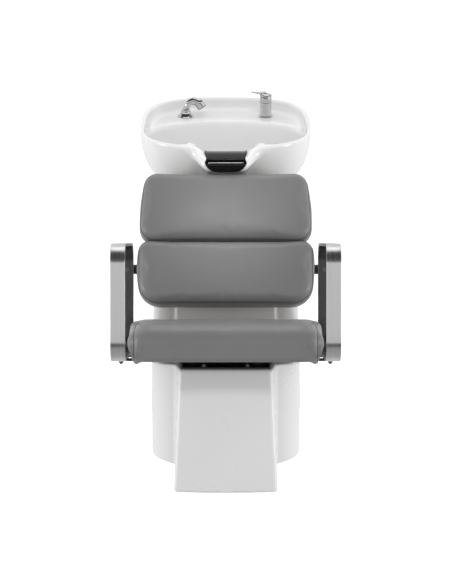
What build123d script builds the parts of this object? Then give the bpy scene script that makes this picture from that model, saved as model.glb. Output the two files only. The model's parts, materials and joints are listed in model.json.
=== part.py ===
"""Salon shampoo backwash unit: a tilting ceramic bowl on a fibreglass base, with a seat,
a two-cushion back and two flat-steel arm loops.

Millimetres. +Z is up, the sitter faces -Y, and the origin is on the floor under the
middle of the unit. Three tilted frames carry the pieces: the seat's, the back's and the bowl's.
"""

import os
from math import cos, pi, radians, sin, tan

from build123d import *

os.makedirs("parts", exist_ok=True)

MIN_Z = (Align.CENTER, Align.CENTER, Align.MIN)
MAX_Z = (Align.CENTER, Align.CENTER, Align.MAX)

# ---- driving dimensions -------------------------------------------------------------

FOOT_FRONT = -550  # the leg's front edge on the floor
FOOT_BULGE = 12  # how far the middle of that edge stands out from its corners
LEG_HALF_FOOT = 140.5  # half width of the leg's front face on the floor
LEG_HALF_TOP = 125  # and at its top
LEG_HALF_ROOT = 146  # half width where the leg meets the column
LEG_LEAN = 94  # how far the leg's front face leans back over LEG_HEIGHT
LEG_HEIGHT = 340
LEG_ROOT = -230  # the leg's inner end, inside the column's nose
LEG_CORNER = 12  # rounding of the leg's front edges

COLUMN_RADIUS = 216  # the column's round nose, and half its width
COLUMN_NOSE = -91  # centre of the nose
COLUMN_BACK = 510
COLUMN_TOP = 735
SHELL = 5  # thickness of the fibreglass
FLANGE = 10  # how far the flange at the column's open top turns in

SPINE_LOW = (-50, 360)  # two points (y, z) of the column's sloped front above the seat
SPINE_HIGH = (150, 720)
SPINE_CORNER = 66  # rounding of that front's upright edges

SEAT_TILT = 8.3  # the seat's rear is lower
SEAT_FRONT = (-545, 362)  # (y, z) of the seat's lower front edge
SEAT_DEPTH = 430
SEAT_HALF = 264
SEAT_THICK = 98
BOARD = 12  # plywood of the seat and the back
BRACKET_HEIGHT = 24
BOLTS_BACK = 200  # middle of the seat's bolts and screws, behind its front edge
BOLT_GRID = (120, 150)
SCREW_GRID = (200, 190)

ARM_INNER = 269  # from the middle to the arm loop's inner edge
ARM_WIDTH = 40
ARM_BAR = 8
ARM_FRONT = -8
ARM_HEIGHT = 318
ARM_CORNER = 55

BACK_JOINT = (-75, 624)  # (y, z) where the two back cushions' faces meet
LOWER_LEAN = 25.5
UPPER_LEAN = 28.5
LOWER_HEIGHT = 181
UPPER_HEIGHT = 206
CUSHION_GAP = 4.5
CUSHION_THICK = 64
BACK_THICK = CUSHION_THICK + BOARD

TUBE_RADIUS = 14  # the tube across the back, between the arm loops
TUBE_DOWN = 63  # how far below the cushions' joint it lies

BOWL_CENTRE = (305, 937)  # (y, z) of the middle of the rim
BOWL_TILT = 13.1  # the rim's rear is higher
DECK = -37  # the tap deck, below the rim
DECK_THICK = 15
BASIN_FLOOR = -212
BOWL_UNDERSIDE = -244
SKIRT = 10  # wall of the hollow under the deck

TAP_X = 125
TAP_V = 155
DRAIN_V = -10

PIVOT = (378, 668)  # (y, z) of the bowl's tilt pins
PIN_RADIUS = 5
RUNNING = 0.05  # radial clearance of a pin in its bush

HOSE_RADIUS = 6

# ---- frames --------------------------------------------------------------------------


def leaned(y, z, angle, x=0):
    """A side-on frame: its x runs to the rear and down by angle, its y up, its normal is +X."""
    a = radians(angle)
    return Plane(origin=(x, y, z), x_dir=(0, cos(a), -sin(a)), z_dir=(1, 0, 0))


def decked(y, z, angle):
    """A plan frame whose rear is lower by angle: x to the right, y to the rear, z up."""
    a = radians(angle)
    return Plane(origin=(0, y, z), x_dir=(1, 0, 0), z_dir=(0, sin(a), cos(a)))


def faced(y, z, lean):
    """The frame of a back cushion's face: x to the right, y up the back, z out of its face."""
    a = radians(lean)
    return Plane(origin=(0, y, z), x_dir=(1, 0, 0), z_dir=(0, -cos(a), sin(a)))


SEAT = decked(*SEAT_FRONT, SEAT_TILT)
SEAT_SIDE = leaned(*SEAT_FRONT, SEAT_TILT)
LOWER_BACK = faced(*BACK_JOINT, LOWER_LEAN)
UPPER_BACK = faced(*BACK_JOINT, UPPER_LEAN)
LOWER_SIDE = leaned(*BACK_JOINT, LOWER_LEAN)
UPPER_SIDE = leaned(*BACK_JOINT, UPPER_LEAN)
BOWL = decked(*BOWL_CENTRE, -BOWL_TILT)
BOWL_SIDE = leaned(*BOWL_CENTRE, -BOWL_TILT)


def side_point(frame, along, up):
    """A side-on frame's point as (y, z) of the row."""
    p = frame.from_local_coords((along, up, 0))
    return (p.Y, p.Z)


TUBE_CENTRE = side_point(LOWER_SIDE, BACK_THICK + TUBE_RADIUS, -TUBE_DOWN)
TUBE_ALONG = SEAT_SIDE.to_local_coords(Vector(0, *TUBE_CENTRE)).X
TUBE_UP = SEAT_SIDE.to_local_coords(Vector(0, *TUBE_CENTRE)).Y
ARM_REAR = TUBE_ALONG - TUBE_RADIUS


def save(piece, label):
    """Names a finished piece and writes it as its own STEP file."""
    piece.part.label = label
    export_step(piece.part, f"parts/{label}.step")


# ---- base shell ----------------------------------------------------------------------


def seat_line(y, below):
    """Height of the plane parallel to the seat, that far below its underside."""
    start = side_point(SEAT_SIDE, 0, -below)
    return start[1] - (y - start[0]) * tan(radians(SEAT_TILT))


def leg_outline(z, inset):
    """The leg's plan at height z: a bowed front, and sides that widen to the column."""
    share = z / LEG_HEIGHT
    half = LEG_HALF_FOOT + (LEG_HALF_TOP - LEG_HALF_FOOT) * share - inset
    corner = FOOT_FRONT + FOOT_BULGE + (LEG_LEAN - FOOT_BULGE / 2) * share + inset
    bulge = FOOT_BULGE * (1 - share / 2)
    root = LEG_HALF_ROOT - inset
    with BuildSketch(Plane.XY.offset(z)) as outline:
        with BuildLine():
            ThreePointArc((-half, corner), (0, corner - bulge), (half, corner))
            Polyline((half, corner), (root, LEG_ROOT), (-root, LEG_ROOT), (-half, corner))
        make_face()
        fillet(outline.vertices().group_by(Axis.Y)[0], max(LEG_CORNER - inset, 2))
    return outline.sketch


def column_outline(inset):
    """The column's plan: a half-round nose, straight sides and a rounded rear."""
    half = COLUMN_RADIUS - inset
    back = COLUMN_BACK - inset
    with BuildSketch() as outline:
        with BuildLine():
            ThreePointArc((half, COLUMN_NOSE), (0, COLUMN_NOSE - half), (-half, COLUMN_NOSE))
            Polyline((-half, COLUMN_NOSE), (-half, back), (half, back), (half, COLUMN_NOSE))
        make_face()
        fillet(outline.vertices().group_by(Axis.Y)[-1], 70 - inset)
    return outline.sketch


def base_solid(inset, bottom, top):
    """The base as a full solid, drawn in by inset: a cut-down column and leg, and the spine."""
    run = SPINE_HIGH[0] - SPINE_LOW[0]
    rise = SPINE_HIGH[1] - SPINE_LOW[1]
    with BuildPart() as lower:
        with BuildSketch(Plane.XY.offset(bottom)):
            add(column_outline(inset))
        extrude(amount=top - bottom)
        loft([leg_outline(0, inset), leg_outline(LEG_HEIGHT, inset)], ruled=True)
        if bottom < 0:
            with BuildSketch():
                add(leg_outline(0, inset))
            extrude(amount=bottom)
        with BuildSketch(Plane.YZ):
            with BuildLine():
                Polyline(
                    (-900, seat_line(-900, BRACKET_HEIGHT + inset)),
                    (900, seat_line(900, BRACKET_HEIGHT + inset)),
                    (900, 1200),
                    (-900, 1200),
                    close=True,
                )
            make_face()
        extrude(amount=400, both=True, mode=Mode.SUBTRACT)
    slope = Plane(origin=(0, *SPINE_LOW), x_dir=(1, 0, 0), z_dir=(0, run, rise))
    with BuildPart() as spine:
        with BuildSketch(Plane.XY.offset(max(bottom, 120 - inset))):
            add(column_outline(inset))
        extrude(amount=top - max(bottom, 120 - inset))
        with BuildSketch(slope) as section:
            with Locations((0, inset)):
                Rectangle(2 * (COLUMN_RADIUS + 4 - inset), 900, align=(Align.CENTER, Align.MIN))
            fillet(section.vertices().group_by(Axis.Y)[0], SPINE_CORNER + 4 - inset)
        extrude(amount=900, both=True, mode=Mode.INTERSECT)
    return lower.part + spine.part


COVER_Z = 425  # middle of the service cover and its hatch
HATCH = (220, 440)
COVER = (250, 470)
COVER_GRID = (234, 454)
COVER_THICK = 3
hatch_plane = Plane(origin=(0, COLUMN_BACK, COVER_Z), x_dir=(1, 0, 0), z_dir=(0, 1, 0))

with BuildPart() as base_shell:
    add(base_solid(0, 0, COLUMN_TOP))
    add(base_solid(SHELL, -20, COLUMN_TOP + 40), mode=Mode.SUBTRACT)
    # the flange turned in round the open top
    with BuildPart(mode=Mode.PRIVATE) as flange:
        add(base_solid(0, 0, COLUMN_TOP))
        add(base_solid(SHELL + FLANGE, 0, COLUMN_TOP + 40), mode=Mode.SUBTRACT)
        with Locations((0, 0, COLUMN_TOP)):
            Box(1200, 1200, SHELL, align=MAX_Z, mode=Mode.INTERSECT)
    add(flange.part)
    # the rear hatch
    with Locations(hatch_plane):
        Box(*HATCH, 40, mode=Mode.SUBTRACT)
    # the seat bolts' holes in the leg's top
    with Locations(SEAT):
        with Locations((0, BOLTS_BACK, -BRACKET_HEIGHT)):
            with GridLocations(*BOLT_GRID, 2, 2):
                Cylinder(5.5, 30, mode=Mode.SUBTRACT)
    # the cover screws' holes
    with Locations(hatch_plane):
        with GridLocations(*COVER_GRID, 2, 2):
            Cylinder(2.6, 30, mode=Mode.SUBTRACT)
save(base_shell, "base_shell")

with BuildPart() as service_cover:
    with BuildSketch(hatch_plane):
        RectangleRounded(*COVER, 12)
    extrude(amount=COVER_THICK)
    with Locations(hatch_plane):
        with GridLocations(*COVER_GRID, 2, 2):
            Cylinder(2.6, 20, mode=Mode.SUBTRACT)
save(service_cover, "service_cover")

with BuildPart() as service_cover_screws:
    with Locations(hatch_plane.offset(COVER_THICK)):
        with GridLocations(*COVER_GRID, 2, 2):
            Cylinder(2.5, 14, align=MAX_Z)
            Cylinder(5, 2, align=MIN_Z)
save(service_cover_screws, "service_cover_screws")

# ---- steel frame inside the base -------------------------------------------------------

RAIL_X = 85
TUBE = 40
TUBE_WALL = 3
PLATE = 6
RAIL_FRONT = -470
RAIL_BACK = 470
FRONT_POST_Y = -345
REAR_POST_Y = 378
TILT_PLATE_Z = 620
ANCHOR_X = 116
ANCHOR_FRONT = -430
ANCHOR_BACK = 440

with BuildPart() as frame_foot_plates:
    for y in (ANCHOR_FRONT, ANCHOR_BACK):
        for side in (-1, 1):
            with Locations((side * 91, y, 0)):
                Box(72, 60, PLATE, align=MIN_Z)
            with Locations((side * ANCHOR_X, y, 0)):
                Cylinder(5.5, 40, mode=Mode.SUBTRACT)
save(frame_foot_plates, "frame_foot_plates")

with BuildPart() as frame_rails:
    middle = (RAIL_FRONT + RAIL_BACK) / 2
    length = RAIL_BACK - RAIL_FRONT
    with Locations((-RAIL_X, middle, PLATE), (RAIL_X, middle, PLATE)):
        Box(TUBE, length, TUBE, align=MIN_Z)
    hollow = TUBE - 2 * TUBE_WALL
    with Locations((-RAIL_X, middle, PLATE + TUBE_WALL), (RAIL_X, middle, PLATE + TUBE_WALL)):
        Box(hollow, length + 2, hollow, align=MIN_Z, mode=Mode.SUBTRACT)
save(frame_rails, "frame_rails")

with BuildPart() as frame_cross_ties:
    for y in (-250, 250):
        with Locations((0, y, PLATE)):
            Box(2 * RAIL_X - TUBE, TUBE, TUBE, align=MIN_Z)
            with Locations((0, 0, TUBE_WALL)):
                Box(2 * RAIL_X, hollow, hollow, align=MIN_Z, mode=Mode.SUBTRACT)
save(frame_cross_ties, "frame_cross_ties")

SEAT_PLATE_TOP = -BRACKET_HEIGHT - SHELL

with BuildPart() as frame_seat_plate:
    with BuildSketch(SEAT.offset(SEAT_PLATE_TOP - 8)):
        with Locations((0, 207)):
            RectangleRounded(210, 190, 10)
        with Locations((0, BOLTS_BACK)):
            with GridLocations(*BOLT_GRID, 2, 2):
                Circle(4.6, mode=Mode.SUBTRACT)
    extrude(amount=8)
save(frame_seat_plate, "frame_seat_plate")

with BuildPart() as frame_front_posts:
    with BuildSketch(Plane.XY.offset(PLATE + TUBE)):
        with Locations((-RAIL_X, FRONT_POST_Y), (RAIL_X, FRONT_POST_Y)):
            Rectangle(TUBE, TUBE)
            Rectangle(hollow, hollow, mode=Mode.SUBTRACT)
    extrude(amount=300)
    with BuildSketch(Plane.YZ):
        with BuildLine():
            Polyline(
                (-700, seat_line(-700, 8 - SEAT_PLATE_TOP)),
                (0, seat_line(0, 8 - SEAT_PLATE_TOP)),
                (0, 600),
                (-700, 600),
                close=True,
            )
        make_face()
    extrude(amount=200, both=True, mode=Mode.SUBTRACT)
save(frame_front_posts, "frame_front_posts")

with BuildPart() as frame_rear_posts:
    with BuildSketch(Plane.XY.offset(PLATE + TUBE)):
        with Locations((-RAIL_X, REAR_POST_Y), (RAIL_X, REAR_POST_Y)):
            Rectangle(TUBE, TUBE)
            Rectangle(hollow, hollow, mode=Mode.SUBTRACT)
    extrude(amount=TILT_PLATE_Z - PLATE - TUBE)
save(frame_rear_posts, "frame_rear_posts")

# ---- seat ------------------------------------------------------------------------------

BRACKET_FRONT = 88
BRACKET_LENGTH = 232
BRACKET_WALL = 4

# the bracket's front end; x runs across and y down
bracket_start = SEAT.from_local_coords((0, BRACKET_FRONT, 0))
bracket_end = Plane(origin=bracket_start, x_dir=(1, 0, 0), z_dir=SEAT.y_dir)

with BuildPart() as seat_bracket:
    with BuildSketch(bracket_end):
        with BuildLine():
            Polyline(
                (-125, 0), (125, 0), (122, BRACKET_HEIGHT), (-122, BRACKET_HEIGHT), close=True
            )
        make_face()
        with BuildLine():
            Polyline(
                (-120.5, BRACKET_WALL),
                (120.5, BRACKET_WALL),
                (118, BRACKET_HEIGHT - BRACKET_WALL),
                (-118, BRACKET_HEIGHT - BRACKET_WALL),
                close=True,
            )
        make_face(mode=Mode.SUBTRACT)
    extrude(amount=BRACKET_LENGTH)
    with Locations(SEAT):
        with Locations((0, BOLTS_BACK, -BRACKET_HEIGHT / 2)):
            with GridLocations(*BOLT_GRID, 2, 2):
                Cylinder(5.5, BRACKET_HEIGHT + 2, mode=Mode.SUBTRACT)
            with GridLocations(*SCREW_GRID, 2, 2):
                Cylinder(3.5, BRACKET_HEIGHT + 2, mode=Mode.SUBTRACT)
save(seat_bracket, "seat_bracket")

with BuildPart(SEAT) as seat_bracket_bolts:
    with Locations((0, BOLTS_BACK, BRACKET_WALL - BRACKET_HEIGHT)):
        with GridLocations(*BOLT_GRID, 2, 2):
            Cylinder(4.5, 40, align=MAX_Z)
            Cylinder(10, 1.5, align=MIN_Z)
            with Locations((0, 0, 1.5)):
                Cylinder(7.5, 5, align=MIN_Z)
save(seat_bracket_bolts, "seat_bracket_bolts")

BOARD_HALF = 238
ARM_BRACKETS = (165, 330)  # how far behind the seat's front edge they cross
BRACKET_BAR = 6
SCREW_BITE = 8  # how far a wood screw goes into its board
ARM_SCREWS = (162, 222)  # from the middle to the arm brackets' wood screws
ARM_BOLT = ARM_INNER + ARM_WIDTH / 2
ARM_PLATE = (164, 38)
ARM_PLATE_X = 221

with BuildPart() as seat_board:
    with BuildSketch(SEAT):
        with Locations((0, SEAT_DEPTH / 2)):
            RectangleRounded(2 * BOARD_HALF, SEAT_DEPTH - 40, 50)
        for side in (-1, 1):
            for back in ARM_BRACKETS:
                with Locations([(side * x, back) for x in ARM_SCREWS]):
                    Circle(3.05, mode=Mode.SUBTRACT)
        with Locations((0, BOLTS_BACK)):
            with GridLocations(*SCREW_GRID, 2, 2):
                Circle(3.05, mode=Mode.SUBTRACT)
    extrude(amount=BOARD)
save(seat_board, "seat_board")

with BuildPart() as seat_cushion:
    with BuildSketch(SEAT):
        with Locations((0, SEAT_DEPTH / 2)):
            RectangleRounded(2 * SEAT_HALF, SEAT_DEPTH, 66)
    extrude(amount=SEAT_THICK)
    crown = seat_cushion.faces().sort_by(SEAT.location.z_axis)[-1]
    fillet(crown.edges(), 24)
    with BuildSketch(SEAT):
        with Locations((0, SEAT_DEPTH / 2)):
            RectangleRounded(2 * BOARD_HALF, SEAT_DEPTH - 40, 50)
    extrude(amount=BOARD, mode=Mode.SUBTRACT)
save(seat_cushion, "seat_cushion")

with BuildPart() as seat_bracket_screws:
    with Locations(SEAT):
        with Locations((0, BOLTS_BACK, -BRACKET_WALL)):
            with GridLocations(*SCREW_GRID, 2, 2):
                Cylinder(3, BRACKET_WALL + SCREW_BITE, align=MIN_Z)
                Cylinder(6, 3, align=MAX_Z)
save(seat_bracket_screws, "seat_bracket_screws")

# ---- arm loops -------------------------------------------------------------------------


def arm_loop(side):
    """One arm: a flat steel bar bent on edge into a closed rounded rectangle."""
    middle = (ARM_FRONT + ARM_REAR) / 2
    length = ARM_REAR - ARM_FRONT
    start = ARM_INNER if side > 0 else -ARM_INNER - ARM_WIDTH
    with BuildPart() as loop:
        with BuildSketch(leaned(*SEAT_FRONT, SEAT_TILT, start)):
            with Locations((middle, ARM_HEIGHT / 2)):
                RectangleRounded(length, ARM_HEIGHT, ARM_CORNER)
                RectangleRounded(
                    length - 2 * ARM_BAR,
                    ARM_HEIGHT - 2 * ARM_BAR,
                    ARM_CORNER - ARM_BAR,
                    mode=Mode.SUBTRACT,
                )
        extrude(amount=ARM_WIDTH)
        with Locations(SEAT):
            for back in ARM_BRACKETS:
                with Locations((side * ARM_BOLT, back, ARM_BAR / 2)):
                    Cylinder(4.2, ARM_BAR + 4, mode=Mode.SUBTRACT)
        with Locations(arm_bolt_place(side)):
            Cylinder(4.2, 4 * ARM_BAR, mode=Mode.SUBTRACT)
    return loop.part


def arm_bolt_place(side):
    """Where the bolt into the cross tube leaves the rear bar's inner face, pointing back."""
    x = side * ARM_BOLT
    y, z = side_point(SEAT_SIDE, ARM_REAR - ARM_BAR, TUBE_UP)
    return Plane(origin=(x, y, z), x_dir=(1, 0, 0), z_dir=SEAT_SIDE.x_dir)


with BuildPart() as arm_loop_left:
    add(arm_loop(-1))
save(arm_loop_left, "arm_loop_left")

with BuildPart() as arm_loop_right:
    add(arm_loop(1))
save(arm_loop_right, "arm_loop_right")

with BuildPart() as arm_brackets:
    with BuildSketch(SEAT):
        for side in (-1, 1):
            for back in ARM_BRACKETS:
                with Locations((side * ARM_PLATE_X, back)):
                    Rectangle(*ARM_PLATE)
                with Locations([(side * x, back) for x in ARM_SCREWS]):
                    Circle(3.2, mode=Mode.SUBTRACT)
                with Locations((side * ARM_BOLT, back)):
                    Circle(4.2, mode=Mode.SUBTRACT)
    extrude(amount=-BRACKET_BAR)
save(arm_brackets, "arm_brackets")

with BuildPart() as arm_bracket_screws:
    with Locations(SEAT):
        for side in (-1, 1):
            for back in ARM_BRACKETS:
                with Locations([(side * x, back, -BRACKET_BAR) for x in ARM_SCREWS]):
                    Cylinder(3, BRACKET_BAR + SCREW_BITE, align=MIN_Z)
                    Cylinder(6, 3, align=MAX_Z)
save(arm_bracket_screws, "arm_bracket_screws")

with BuildPart() as arm_bolts:
    with Locations(SEAT):
        for side in (-1, 1):
            for back in ARM_BRACKETS:
                with Locations((side * ARM_BOLT, back, ARM_BAR)):
                    Cylinder(4, ARM_BAR + BRACKET_BAR + 9, align=MAX_Z)
                    Cylinder(7.5, 4, align=MIN_Z)
                with Locations((side * ARM_BOLT, back, -BRACKET_BAR)):
                    Cylinder(6.5, 6, align=MAX_Z)
    for side in (-1, 1):
        with Locations(arm_bolt_place(side)):
            Cylinder(4, ARM_BAR + 12, align=MIN_Z)
            Cylinder(7, 4, align=MAX_Z)
save(arm_bolts, "arm_bolts")

# ---- back ------------------------------------------------------------------------------

TUBE_HALF = 300  # half the cross tube's length

with BuildPart() as back_cross_tube:
    with BuildSketch(leaned(*SEAT_FRONT, SEAT_TILT, -TUBE_HALF)):
        with Locations((TUBE_ALONG, TUBE_UP)):
            Circle(TUBE_RADIUS)
            Circle(TUBE_RADIUS - 3, mode=Mode.SUBTRACT)
    extrude(amount=2 * TUBE_HALF)
    for side in (-1, 1):
        with Locations(arm_bolt_place(side)):
            Cylinder(4.2, ARM_BAR + 12.5, align=MIN_Z, mode=Mode.SUBTRACT)
save(back_cross_tube, "back_cross_tube")

with BuildPart() as back_tube_caps:
    for x in (-TUBE_HALF, TUBE_HALF):
        with BuildSketch(leaned(*SEAT_FRONT, SEAT_TILT, x)):
            with Locations((TUBE_ALONG, TUBE_UP)):
                Circle(TUBE_RADIUS)
        extrude(amount=2 if x > 0 else -2)
save(back_tube_caps, "back_tube_caps")

STRAP = 3


def back_pad(frame, bottom, top, half_bottom, half_top, low_corner, top_corner, grow):
    """A back cushion's outline extruded from its rear to its face, grown or shrunk by grow."""
    with BuildPart() as pad:
        with BuildSketch(frame) as outline:
            with BuildLine():
                Polyline(
                    (-half_bottom - grow, bottom - grow),
                    (half_bottom + grow, bottom - grow),
                    (half_top + grow, top + grow),
                    (-half_top - grow, top + grow),
                    close=True,
                )
            make_face()
            fillet(outline.vertices().group_by(Axis.Y)[0], low_corner + grow)
            fillet(outline.vertices().group_by(Axis.Y)[-1], top_corner + grow)
        extrude(amount=-BACK_THICK)
    return pad.part


LOWER_SPAN = (-CUSHION_GAP / 2 - LOWER_HEIGHT, -CUSHION_GAP / 2)
UPPER_SPAN = (CUSHION_GAP / 2, CUSHION_GAP / 2 + UPPER_HEIGHT)
STRUT_X = 70
STRAP_SCREWS = [(x, up - TUBE_DOWN) for x in (-135, 135) for up in (-27, 27)]
LOWER_STRUT_SCREWS = [(-STRUT_X, -26), (STRUT_X, -26)]
UPPER_STRUT_SCREWS = [(x, up) for x in (-STRUT_X, STRUT_X) for up in (50, 130)]
LOWER_SHAPE = (*LOWER_SPAN, 252, 255, 62, 34)
UPPER_SHAPE = (*UPPER_SPAN, 250, 236, 52, 36)


def back_board(frame, shape):
    """The plywood behind a back cushion, 20 mm inside its outline."""
    with BuildPart() as board:
        add(back_pad(frame, *shape, -20))
        with Locations(frame.offset(-CUSHION_THICK)):
            Box(900, 900, 200, align=MIN_Z, mode=Mode.SUBTRACT)
    return board.part


def back_bores(frame, spots):
    """The screw holes at a back board's rear, as cylinders to take away."""
    with BuildPart() as bores:
        with Locations(frame.offset(-BACK_THICK)):
            with Locations([(x, up, 0) for x, up in spots]):
                Cylinder(2.1, 2 * SCREW_BITE)
    return bores.part


def back_cushion(frame, shape):
    """A back cushion, wrapped round the edge of its board."""
    with BuildPart() as cushion:
        add(back_pad(frame, *shape, 0))
        face = cushion.faces().sort_by(frame.location.z_axis)[-1]
        fillet(face.edges(), 22)
        add(back_board(frame, shape), mode=Mode.SUBTRACT)
    return cushion.part


with BuildPart() as back_lower_board:
    add(back_board(LOWER_BACK, LOWER_SHAPE))
    add(back_bores(LOWER_BACK, STRAP_SCREWS + LOWER_STRUT_SCREWS), mode=Mode.SUBTRACT)
save(back_lower_board, "back_lower_board")

with BuildPart() as back_lower_cushion:
    add(back_cushion(LOWER_BACK, LOWER_SHAPE))
save(back_lower_cushion, "back_lower_cushion")

with BuildPart() as back_upper_board:
    add(back_board(UPPER_BACK, UPPER_SHAPE))
    add(back_bores(UPPER_BACK, UPPER_STRUT_SCREWS), mode=Mode.SUBTRACT)
save(back_upper_board, "back_upper_board")

with BuildPart() as back_upper_cushion:
    add(back_cushion(UPPER_BACK, UPPER_SHAPE))
save(back_upper_cushion, "back_upper_cushion")

STRUT = 5
STRUT_LOW = -44  # where a strut starts and ends along the two cushions
STRUT_HIGH = 150

with BuildPart() as back_tube_straps:
    for x in (-150, 120):
        with BuildSketch(leaned(*side_point(LOWER_SIDE, BACK_THICK, -TUBE_DOWN), LOWER_LEAN, x)):
            with BuildLine():
                Polyline(
                    (0, -34),
                    (0, 34),
                    (STRAP, 34),
                    (STRAP, 20),
                    (25, 15),
                    (31.5, 0),
                    (25, -15),
                    (STRAP, -20),
                    (STRAP, -34),
                    close=True,
                )
            make_face()
            with Locations((TUBE_RADIUS, 0)):
                Circle(TUBE_RADIUS, mode=Mode.SUBTRACT)
            Rectangle(
                TUBE_RADIUS,
                2 * TUBE_RADIUS,
                align=(Align.MIN, Align.CENTER),
                mode=Mode.SUBTRACT,
            )
        extrude(amount=30)
    add(back_bores(LOWER_BACK, STRAP_SCREWS), mode=Mode.SUBTRACT)
save(back_tube_straps, "back_tube_straps")

with BuildPart() as back_struts:
    low = side_point(LOWER_SIDE, BACK_THICK, STRUT_LOW)
    bend_up = -BACK_THICK * tan(radians((UPPER_LEAN - LOWER_LEAN) / 2))
    bend = side_point(LOWER_SIDE, BACK_THICK, bend_up)
    high = side_point(UPPER_SIDE, BACK_THICK, STRUT_HIGH)
    for side in (-1, 1):
        with BuildSketch(Plane.YZ.offset(side * STRUT_X - 15)):
            with BuildLine():
                Polyline(low, bend, high, side_point(UPPER_SIDE, BACK_THICK + STRUT, STRUT_HIGH))
                Polyline(
                    side_point(UPPER_SIDE, BACK_THICK + STRUT, STRUT_HIGH),
                    side_point(LOWER_SIDE, BACK_THICK + STRUT, bend_up),
                    side_point(LOWER_SIDE, BACK_THICK + STRUT, STRUT_LOW),
                    low,
                )
            make_face()
        extrude(amount=30)
    add(back_bores(LOWER_BACK, LOWER_STRUT_SCREWS), mode=Mode.SUBTRACT)
    add(back_bores(UPPER_BACK, UPPER_STRUT_SCREWS), mode=Mode.SUBTRACT)
save(back_struts, "back_struts")

with BuildPart() as back_screws:
    for frame, thick, spots in (
        (LOWER_BACK, STRAP, STRAP_SCREWS),
        (LOWER_BACK, STRUT, LOWER_STRUT_SCREWS),
        (UPPER_BACK, STRUT, UPPER_STRUT_SCREWS),
    ):
        with Locations(frame.offset(-BACK_THICK - thick)):
            with Locations([(x, up, 0) for x, up in spots]):
                Cylinder(2, thick + SCREW_BITE - 1, align=MIN_Z)
                Cylinder(4, 2, align=MAX_Z)
save(back_screws, "back_screws")

# ---- bowl ------------------------------------------------------------------------------

# depth below the rim, half width, half length and how far back the outline's centre lies
OUTER = [
    (0, 260, 251, 0),
    (45, 258, 246, 2),
    (95, 247, 226, 6),
    (135, 228, 198, 10),
    (175, 195, 160, 14),
    (205, 150, 118, 18),
    (222, 105, 84, 20),
    (244, 84, 66, 20),
]

# depth below the rim, half width, and how far the basin reaches to the front and the rear
BASIN = [
    (36, 241, -228, 102),
    (95, 231, -204, 92),
    (135, 212, -172, 84),
    (165, 186, -142, 74),
    (195, 138, -95, 60),
    (212, 70, -60, 40),
]

# the side view (y, z) of the spout that carries the neck rest, outside first
LIP = [
    (150, 765),
    (105, 792),
    (65, 803),
    (35, 813),
    (28, 830),
    (40, 848),
    (68, 857),
    (90, 856),
    (115, 845),
    (142, 818),
    (172, 768),
]
LIP_HALF = 88
PAD_HALF = 63
PAD = 4


def ring_outline(depth, half, front, rear, grow=0, roundness=0.36):
    """A rounded level outline of the bowl at that depth."""
    with BuildSketch(BOWL.offset(-depth)) as outline:
        with Locations((0, (front + rear) / 2)):
            width = 2 * half + 2 * grow
            length = rear - front + 2 * grow
            RectangleRounded(width, length, roundness * min(width, length))
    return outline.sketch


def outer_body(grow):
    """The bowl's outside as a full solid, grown or drawn in by grow."""
    rings = [ring_outline(d, a, c - b, c + b, grow) for d, a, b, c in OUTER]
    return loft(rings, ruled=True)


with BuildPart() as bowl:
    add(outer_body(0))
    # the open top down to the tap deck, and the basin
    loft(
        [
            ring_outline(-1, 244, -235, 235),
            ring_outline(-DECK, 241, -227, 232),
        ],
        ruled=True,
        mode=Mode.SUBTRACT,
    )
    loft(
        [ring_outline(*ring, roundness=0.495) for ring in BASIN],
        ruled=True,
        mode=Mode.SUBTRACT,
    )
    # the hollow under the deck, open to the rear underneath
    with BuildPart(mode=Mode.PRIVATE) as under_deck:
        add(outer_body(-SKIRT))
        with BuildSketch(BOWL_SIDE):
            with BuildLine():
                Polyline(
                    (118, DECK - DECK_THICK),
                    (103, -135),
                    (80, -195),
                    (80, -400),
                    (400, -400),
                    (400, DECK - DECK_THICK),
                    close=True,
                )
            make_face()
        extrude(amount=225, both=True, mode=Mode.INTERSECT)
    add(under_deck.part, mode=Mode.SUBTRACT)
    with Locations(BOWL):
        with Locations((0, 94, -168)):
            Box(320, 260, 200, align=(Align.CENTER, Align.MIN, Align.MAX), mode=Mode.SUBTRACT)
    # the neck notch in the front rim
    with BuildSketch(Plane(origin=BOWL.from_local_coords((0, -160, 0)), x_dir=(1, 0, 0),
                           z_dir=-BOWL.y_dir)):
        with BuildLine():
            Polyline((-113, 20), (-113, 0), (-92, -12), (-66, -31), (66, -31), (92, -12),
                     (113, 0), (113, 20), close=True)
        make_face()
    extrude(amount=160, mode=Mode.SUBTRACT)
    with BuildSketch(Plane.YZ):
        with BuildLine():
            crest = Spline(*LIP)
            Line(crest @ 1, crest @ 0)
        make_face()
    extrude(amount=LIP_HALF, both=True)
    # tap holes and drain
    with Locations(BOWL):
        with Locations((TAP_X, TAP_V, DECK)):
            Cylinder(17, 60, mode=Mode.SUBTRACT)
        with Locations((-TAP_X, TAP_V, DECK)):
            Cylinder(14, 60, mode=Mode.SUBTRACT)
        with Locations((0, DRAIN_V, BASIN_FLOOR)):
            Cylinder(26, 100, mode=Mode.SUBTRACT)
save(bowl, "bowl")

def beside(line, share, gap):
    """A point that far outside a line in the middle plane, at a share of its length."""
    at = line @ share
    along = line % share
    return (at.Y - gap * along.Z, at.Z + gap * along.Y)


PAD_FROM = 0.40  # where the pad starts and ends along the spout's outline
PAD_TO = 0.80
PAD_STEPS = 12
PAD_SKIN = 0.2  # its bond line

lip_line = Spline([(0, y, z) for y, z in LIP], mode=Mode.PRIVATE)
pad_shares = [PAD_FROM + (PAD_TO - PAD_FROM) * i / PAD_STEPS for i in range(PAD_STEPS + 1)]

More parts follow.
